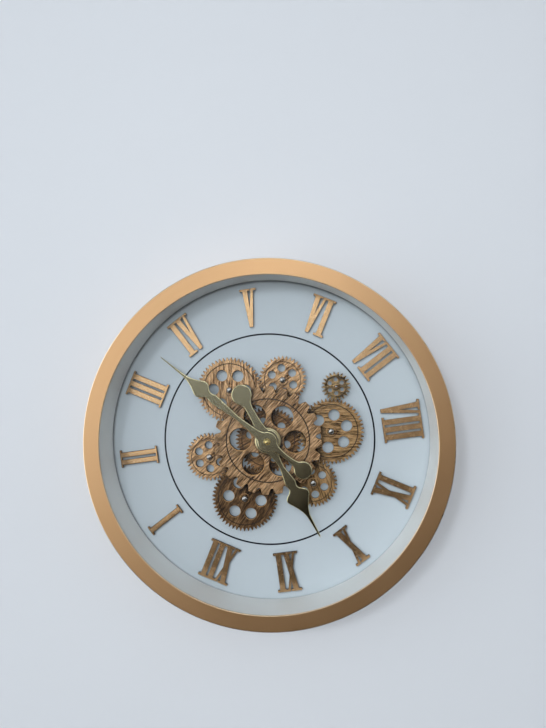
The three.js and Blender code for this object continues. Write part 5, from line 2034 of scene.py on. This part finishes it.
@dataclass
class Hanger:
    """Keyhole plate and its two rivets."""

    corner: float = 4.0
    seat: float = 205.0
    entry: float = 194.0
    head: float = 5.5
    slot: float = 2.3
    rivet: float = 3.4
    shank: float = 1.8
    bead_at: float = 17.0
    bead_half: float = 5.5
    bead_levels: Level = (198.5, 200.5)
    bead_rise: float = 0.55

    def plate(self) -> None:
        """Stamps the plate: rounded corners, keyhole, and a raised bead on each side of it."""
        low, high = extent("hanger_plate")
        mouth = math.degrees(math.acos(self.slot / self.head))
        keyhole = arc(self.slot, 0, 180, 14, Vector((0, self.seat)))
        keyhole += arc(self.head, 180 - mouth, 360 + mouth, 36, Vector((0, self.entry)))
        levels = plate_levels(low.y, high.y, 0.35, 0.3)
        bench = Bench()
        rims = bench.wall(filleted(rectangle(low.x, high.x, low.z, high.z), self.corner, 6), levels)
        for rim, edge in zip(rims, bench.wall(keyhole, levels, hole=True)):
            bench.cap(rim, edge)
        for x in (-self.bead_at, self.bead_at):
            across = (x - self.bead_half, x + self.bead_half)
            bench.block(across, (low.y - self.bead_rise, low.y + 0.3), self.bead_levels, 0.5, 3)
        bench.stand("keyhole_plate", "hanger_plate", ZINC, crease=35)

    def rivets(self) -> None:
        """Sets the two domed rivets."""
        r, shank, seat = self.rivet, self.shank, depth("hanger_plate")[0]
        for node in ("hanger_rivet_left", "hanger_rivet_right"):
            top, brow = depth(node)[0], seat - 0.15
            profile = [(0, 0.25), (shank + 0.3, 0.22), (shank + 0.7, 0), (shank, -0.6), (shank, seat)]
            profile += [(r - 0.1, seat), (r, brow)]
            profile += dome(r, brow, top - brow, (20, 40, 60, 78)) + [(0, top)]
            Bench().turned(profile, 36).stand(f"domed_{node}", node, ZINC, at=axis_of(node), crease=45)

    def build(self) -> None:
        """Makes the hanger."""
        self.plate()
        self.rivets()


# Camera, lamps and stage


@dataclass
class Studio:
    """The camera, the soft lamps, and a plain pale wall and floor."""

    image: tuple[int, int] = (546, 728)
    focal_pixels: float = 547.0
    sensor: float = 36.0
    clip: tuple[float, float] = (0.02, 60.0)
    camera_at: Vector = Vector((-13.64, -817.2, -316.08))
    right: Vector = Vector((-0.9264, 0.0605, -0.3716))
    up: Vector = Vector((0.3715, -0.0127, -0.9283))
    floor_level: float = -1.15
    wall_gap: float = 0.002
    half: float = 6.0
    pale_tone: Seen = (226, 227, 229)
    floor_glow: float = 0.45
    window_side: Vector = Vector((0.918, 0.0, -0.394))
    bright_side: Vector = Vector((0.731, 0.0, -0.682))
    world_range: tuple[float, float, float, float] = (-0.22, 0.04, 0.04, 1.42)
    world_seen: Colour = (0.8, 0.805, 0.81)
    shade_tint: Colour = (1.12, 0.95, 0.8)
    window_tint: Colour = (0.93, 1.0, 1.07)

    def camera(self) -> None:
        """Puts the camera where the photograph was taken, rolled as it was."""
        data = bpy.data.cameras.new("camera")
        data.sensor_width = self.sensor
        data.lens = self.sensor * self.focal_pixels / max(self.image)
        data.clip_start, data.clip_end = self.clip
        back = self.right.cross(self.up)
        turn = Matrix((self.right, self.up, back)).transposed().to_quaternion()
        bpy.context.scene.camera = self.hang("camera", data, self.camera_at * MM, turn)

    def hang(self, name: str, data: bpy.types.ID, at: Vector, turn: Quaternion) -> bpy.types.Object:
        """Puts a camera or a lamp in the scene.

        Args:
            name: its name.
            data: the camera's or the lamp's own data.
            at: its place in metres.
            turn: its turn.

        Returns:
            Its object.
        """
        item = bpy.data.objects.new(name, data)
        bpy.context.scene.collection.objects.link(item)
        item.rotation_mode = "QUATERNION"
        item.rotation_quaternion = turn
        item.location = at
        return item

    def lamp(self, name: str, by: Vector, size: float, watts: float, mirrored: bool = True) -> None:
        """Hangs a square soft lamp that looks at the dial.

        Args:
            name: its name.
            by: its place from the dial's centre, in metres.
            size: length of its side.
            watts: its power.
            mirrored: False for a lamp that leaves no image of itself in glass and metal.
        """
        data = bpy.data.lights.new(name, "AREA")
        data.shape, data.size, data.energy, data.color = "SQUARE", size, watts, self.window_tint
        lamp = self.hang(name, data, Vector(DIAL_CENTRE) + by, (-by).to_track_quat("-Z", "Y"))
        lamp.visible_glossy = lamp.visible_transmission = mirrored

    def pale(self, name: str) -> Coat:
        """Wires a plain pale paint with a faint cloud.

        Args:
            name: name of the material.

        Returns:
            Its wiring.
        """
        coat, tone = Coat(name), srgb(self.pale_tone)
        cloud = coat.noise(coat.place(), 1.2, 3.0, 0.5)
        shade = tuple(value * 0.985 for value in tone)
        colour = coat.ramp(cloud, (0.3, shade), (0.7, tone))
        coat.shade(Base_Color=colour, Roughness=0.9, Specular_IOR_Level=0.1)
        return coat

    def plane(self, name: str, coat: Coat, matrix: Matrix) -> None:
        """Lays a large plane as part of the stage.

        Args:
            name: its name.
            coat: wiring of its material.
            matrix: its place in metres.
        """
        bench = bmesh.new()
        bmesh.ops.create_grid(bench, x_segments=2, y_segments=2, size=self.half)
        bmesh.ops.transform(bench, matrix=matrix, verts=bench.verts)
        mesh = bpy.data.meshes.new(name)
        bench.to_mesh(mesh)
        bench.free()
        mesh.materials.append(coat.made)
        piece = bpy.data.objects.new(name, mesh)
        bpy.context.scene.collection.objects.link(piece)

    def backdrop(self) -> None:
        """Stands the wall behind the clock; only the camera sees it, and only from its front."""
        coat = self.pale("pale_wall")
        front = coat.reckon("SUBTRACT", 1.0, coat.put("NewGeometry").outputs["Backfacing"])
        seen = coat.reckon("MULTIPLY", coat.path("Camera"), front)
        clear = coat.put("BsdfTransparent").outputs["BSDF"]
        coat.surface(coat.either(seen, clear, coat.shader.outputs["BSDF"]))
        upright = Matrix.Rotation(math.radians(90), 4, "X")
        self.plane("backdrop", coat, Matrix.Translation((0, self.wall_gap, 0)) @ upright)

    def floor(self) -> None:
        """Lays the floor, which the camera sees a little brighter than it lights the clock."""
        coat = self.pale("pale_floor")
        glow = coat.span(coat.path("Camera"), 0.0, self.floor_glow)
        coat.shade(Emission_Color=srgb(self.pale_tone), Emission_Strength=glow)
        self.plane("floor", coat, Matrix.Translation((0, 0, self.floor_level)))

    def world(self) -> None:
        """A soft world, brighter on the window's side, and pale where the camera sees it."""
        world = bpy.data.worlds.new("studio")
        world.use_nodes = True
        wiring = Wiring(world.node_tree)
        start, end, low, high = self.world_range
        where = wiring.put("TexCoord").outputs["Generated"]
        side = wiring.join("VectorMath", "DOT_PRODUCT", where, self.bright_side).outputs["Value"]
        ends = {"From_Min": start, "From_Max": end, "To_Min": low, "To_Max": high}
        level = wiring.put("MapRange", interpolation_type="SMOOTHSTEP", Value=side, **ends).outputs["Result"]
        tint = wiring.ramp(level, (0.0, self.shade_tint), (1.0, self.window_tint))
        light = wiring.put("Background", Color=tint, Strength=level).outputs["Background"]
        seen = wiring.put("Background", Color=self.world_seen, Strength=1.0).outputs["Background"]
        wiring.put("OutputWorld", Surface=wiring.either(wiring.path("Camera"), light, seen))
        bpy.context.scene.world = world

    def build(self) -> None:
        """Sets the whole studio up."""
        bpy.context.scene.view_settings.view_transform = "Standard"
        for make in (self.camera, self.backdrop, self.floor, self.world):
            make()
        self.lamp("window", self.window_side + Vector((0, -2.2, 0)), 0.3, 10.5, mirrored=False)
        self.lamp("glint", Vector((0.342, -2.2, -0.94)), 0.6, 6.0)
        self.lamp("fill", Vector((-0.04, -2.4, -0.35)), 0.6, 13.0, mirrored=False)
        self.lamp("back_lamp", Vector((-0.9, 4.2, 1.7)), 2.4, 75.0)


def main() -> None:
    """Builds the studio, then the clock piece by piece."""
    logging.basicConfig(level=logging.INFO, format="%(name)s: %(message)s")
    Studio().build()
    for assembly in (Case(), Numerals(), Train(), Hands(), Movement(), Motor(), Supply(), Lead(), Hanger()):
        log.info("building %s", type(assembly).__name__)
        assembly.build()


if __name__ == "__main__":
    main()
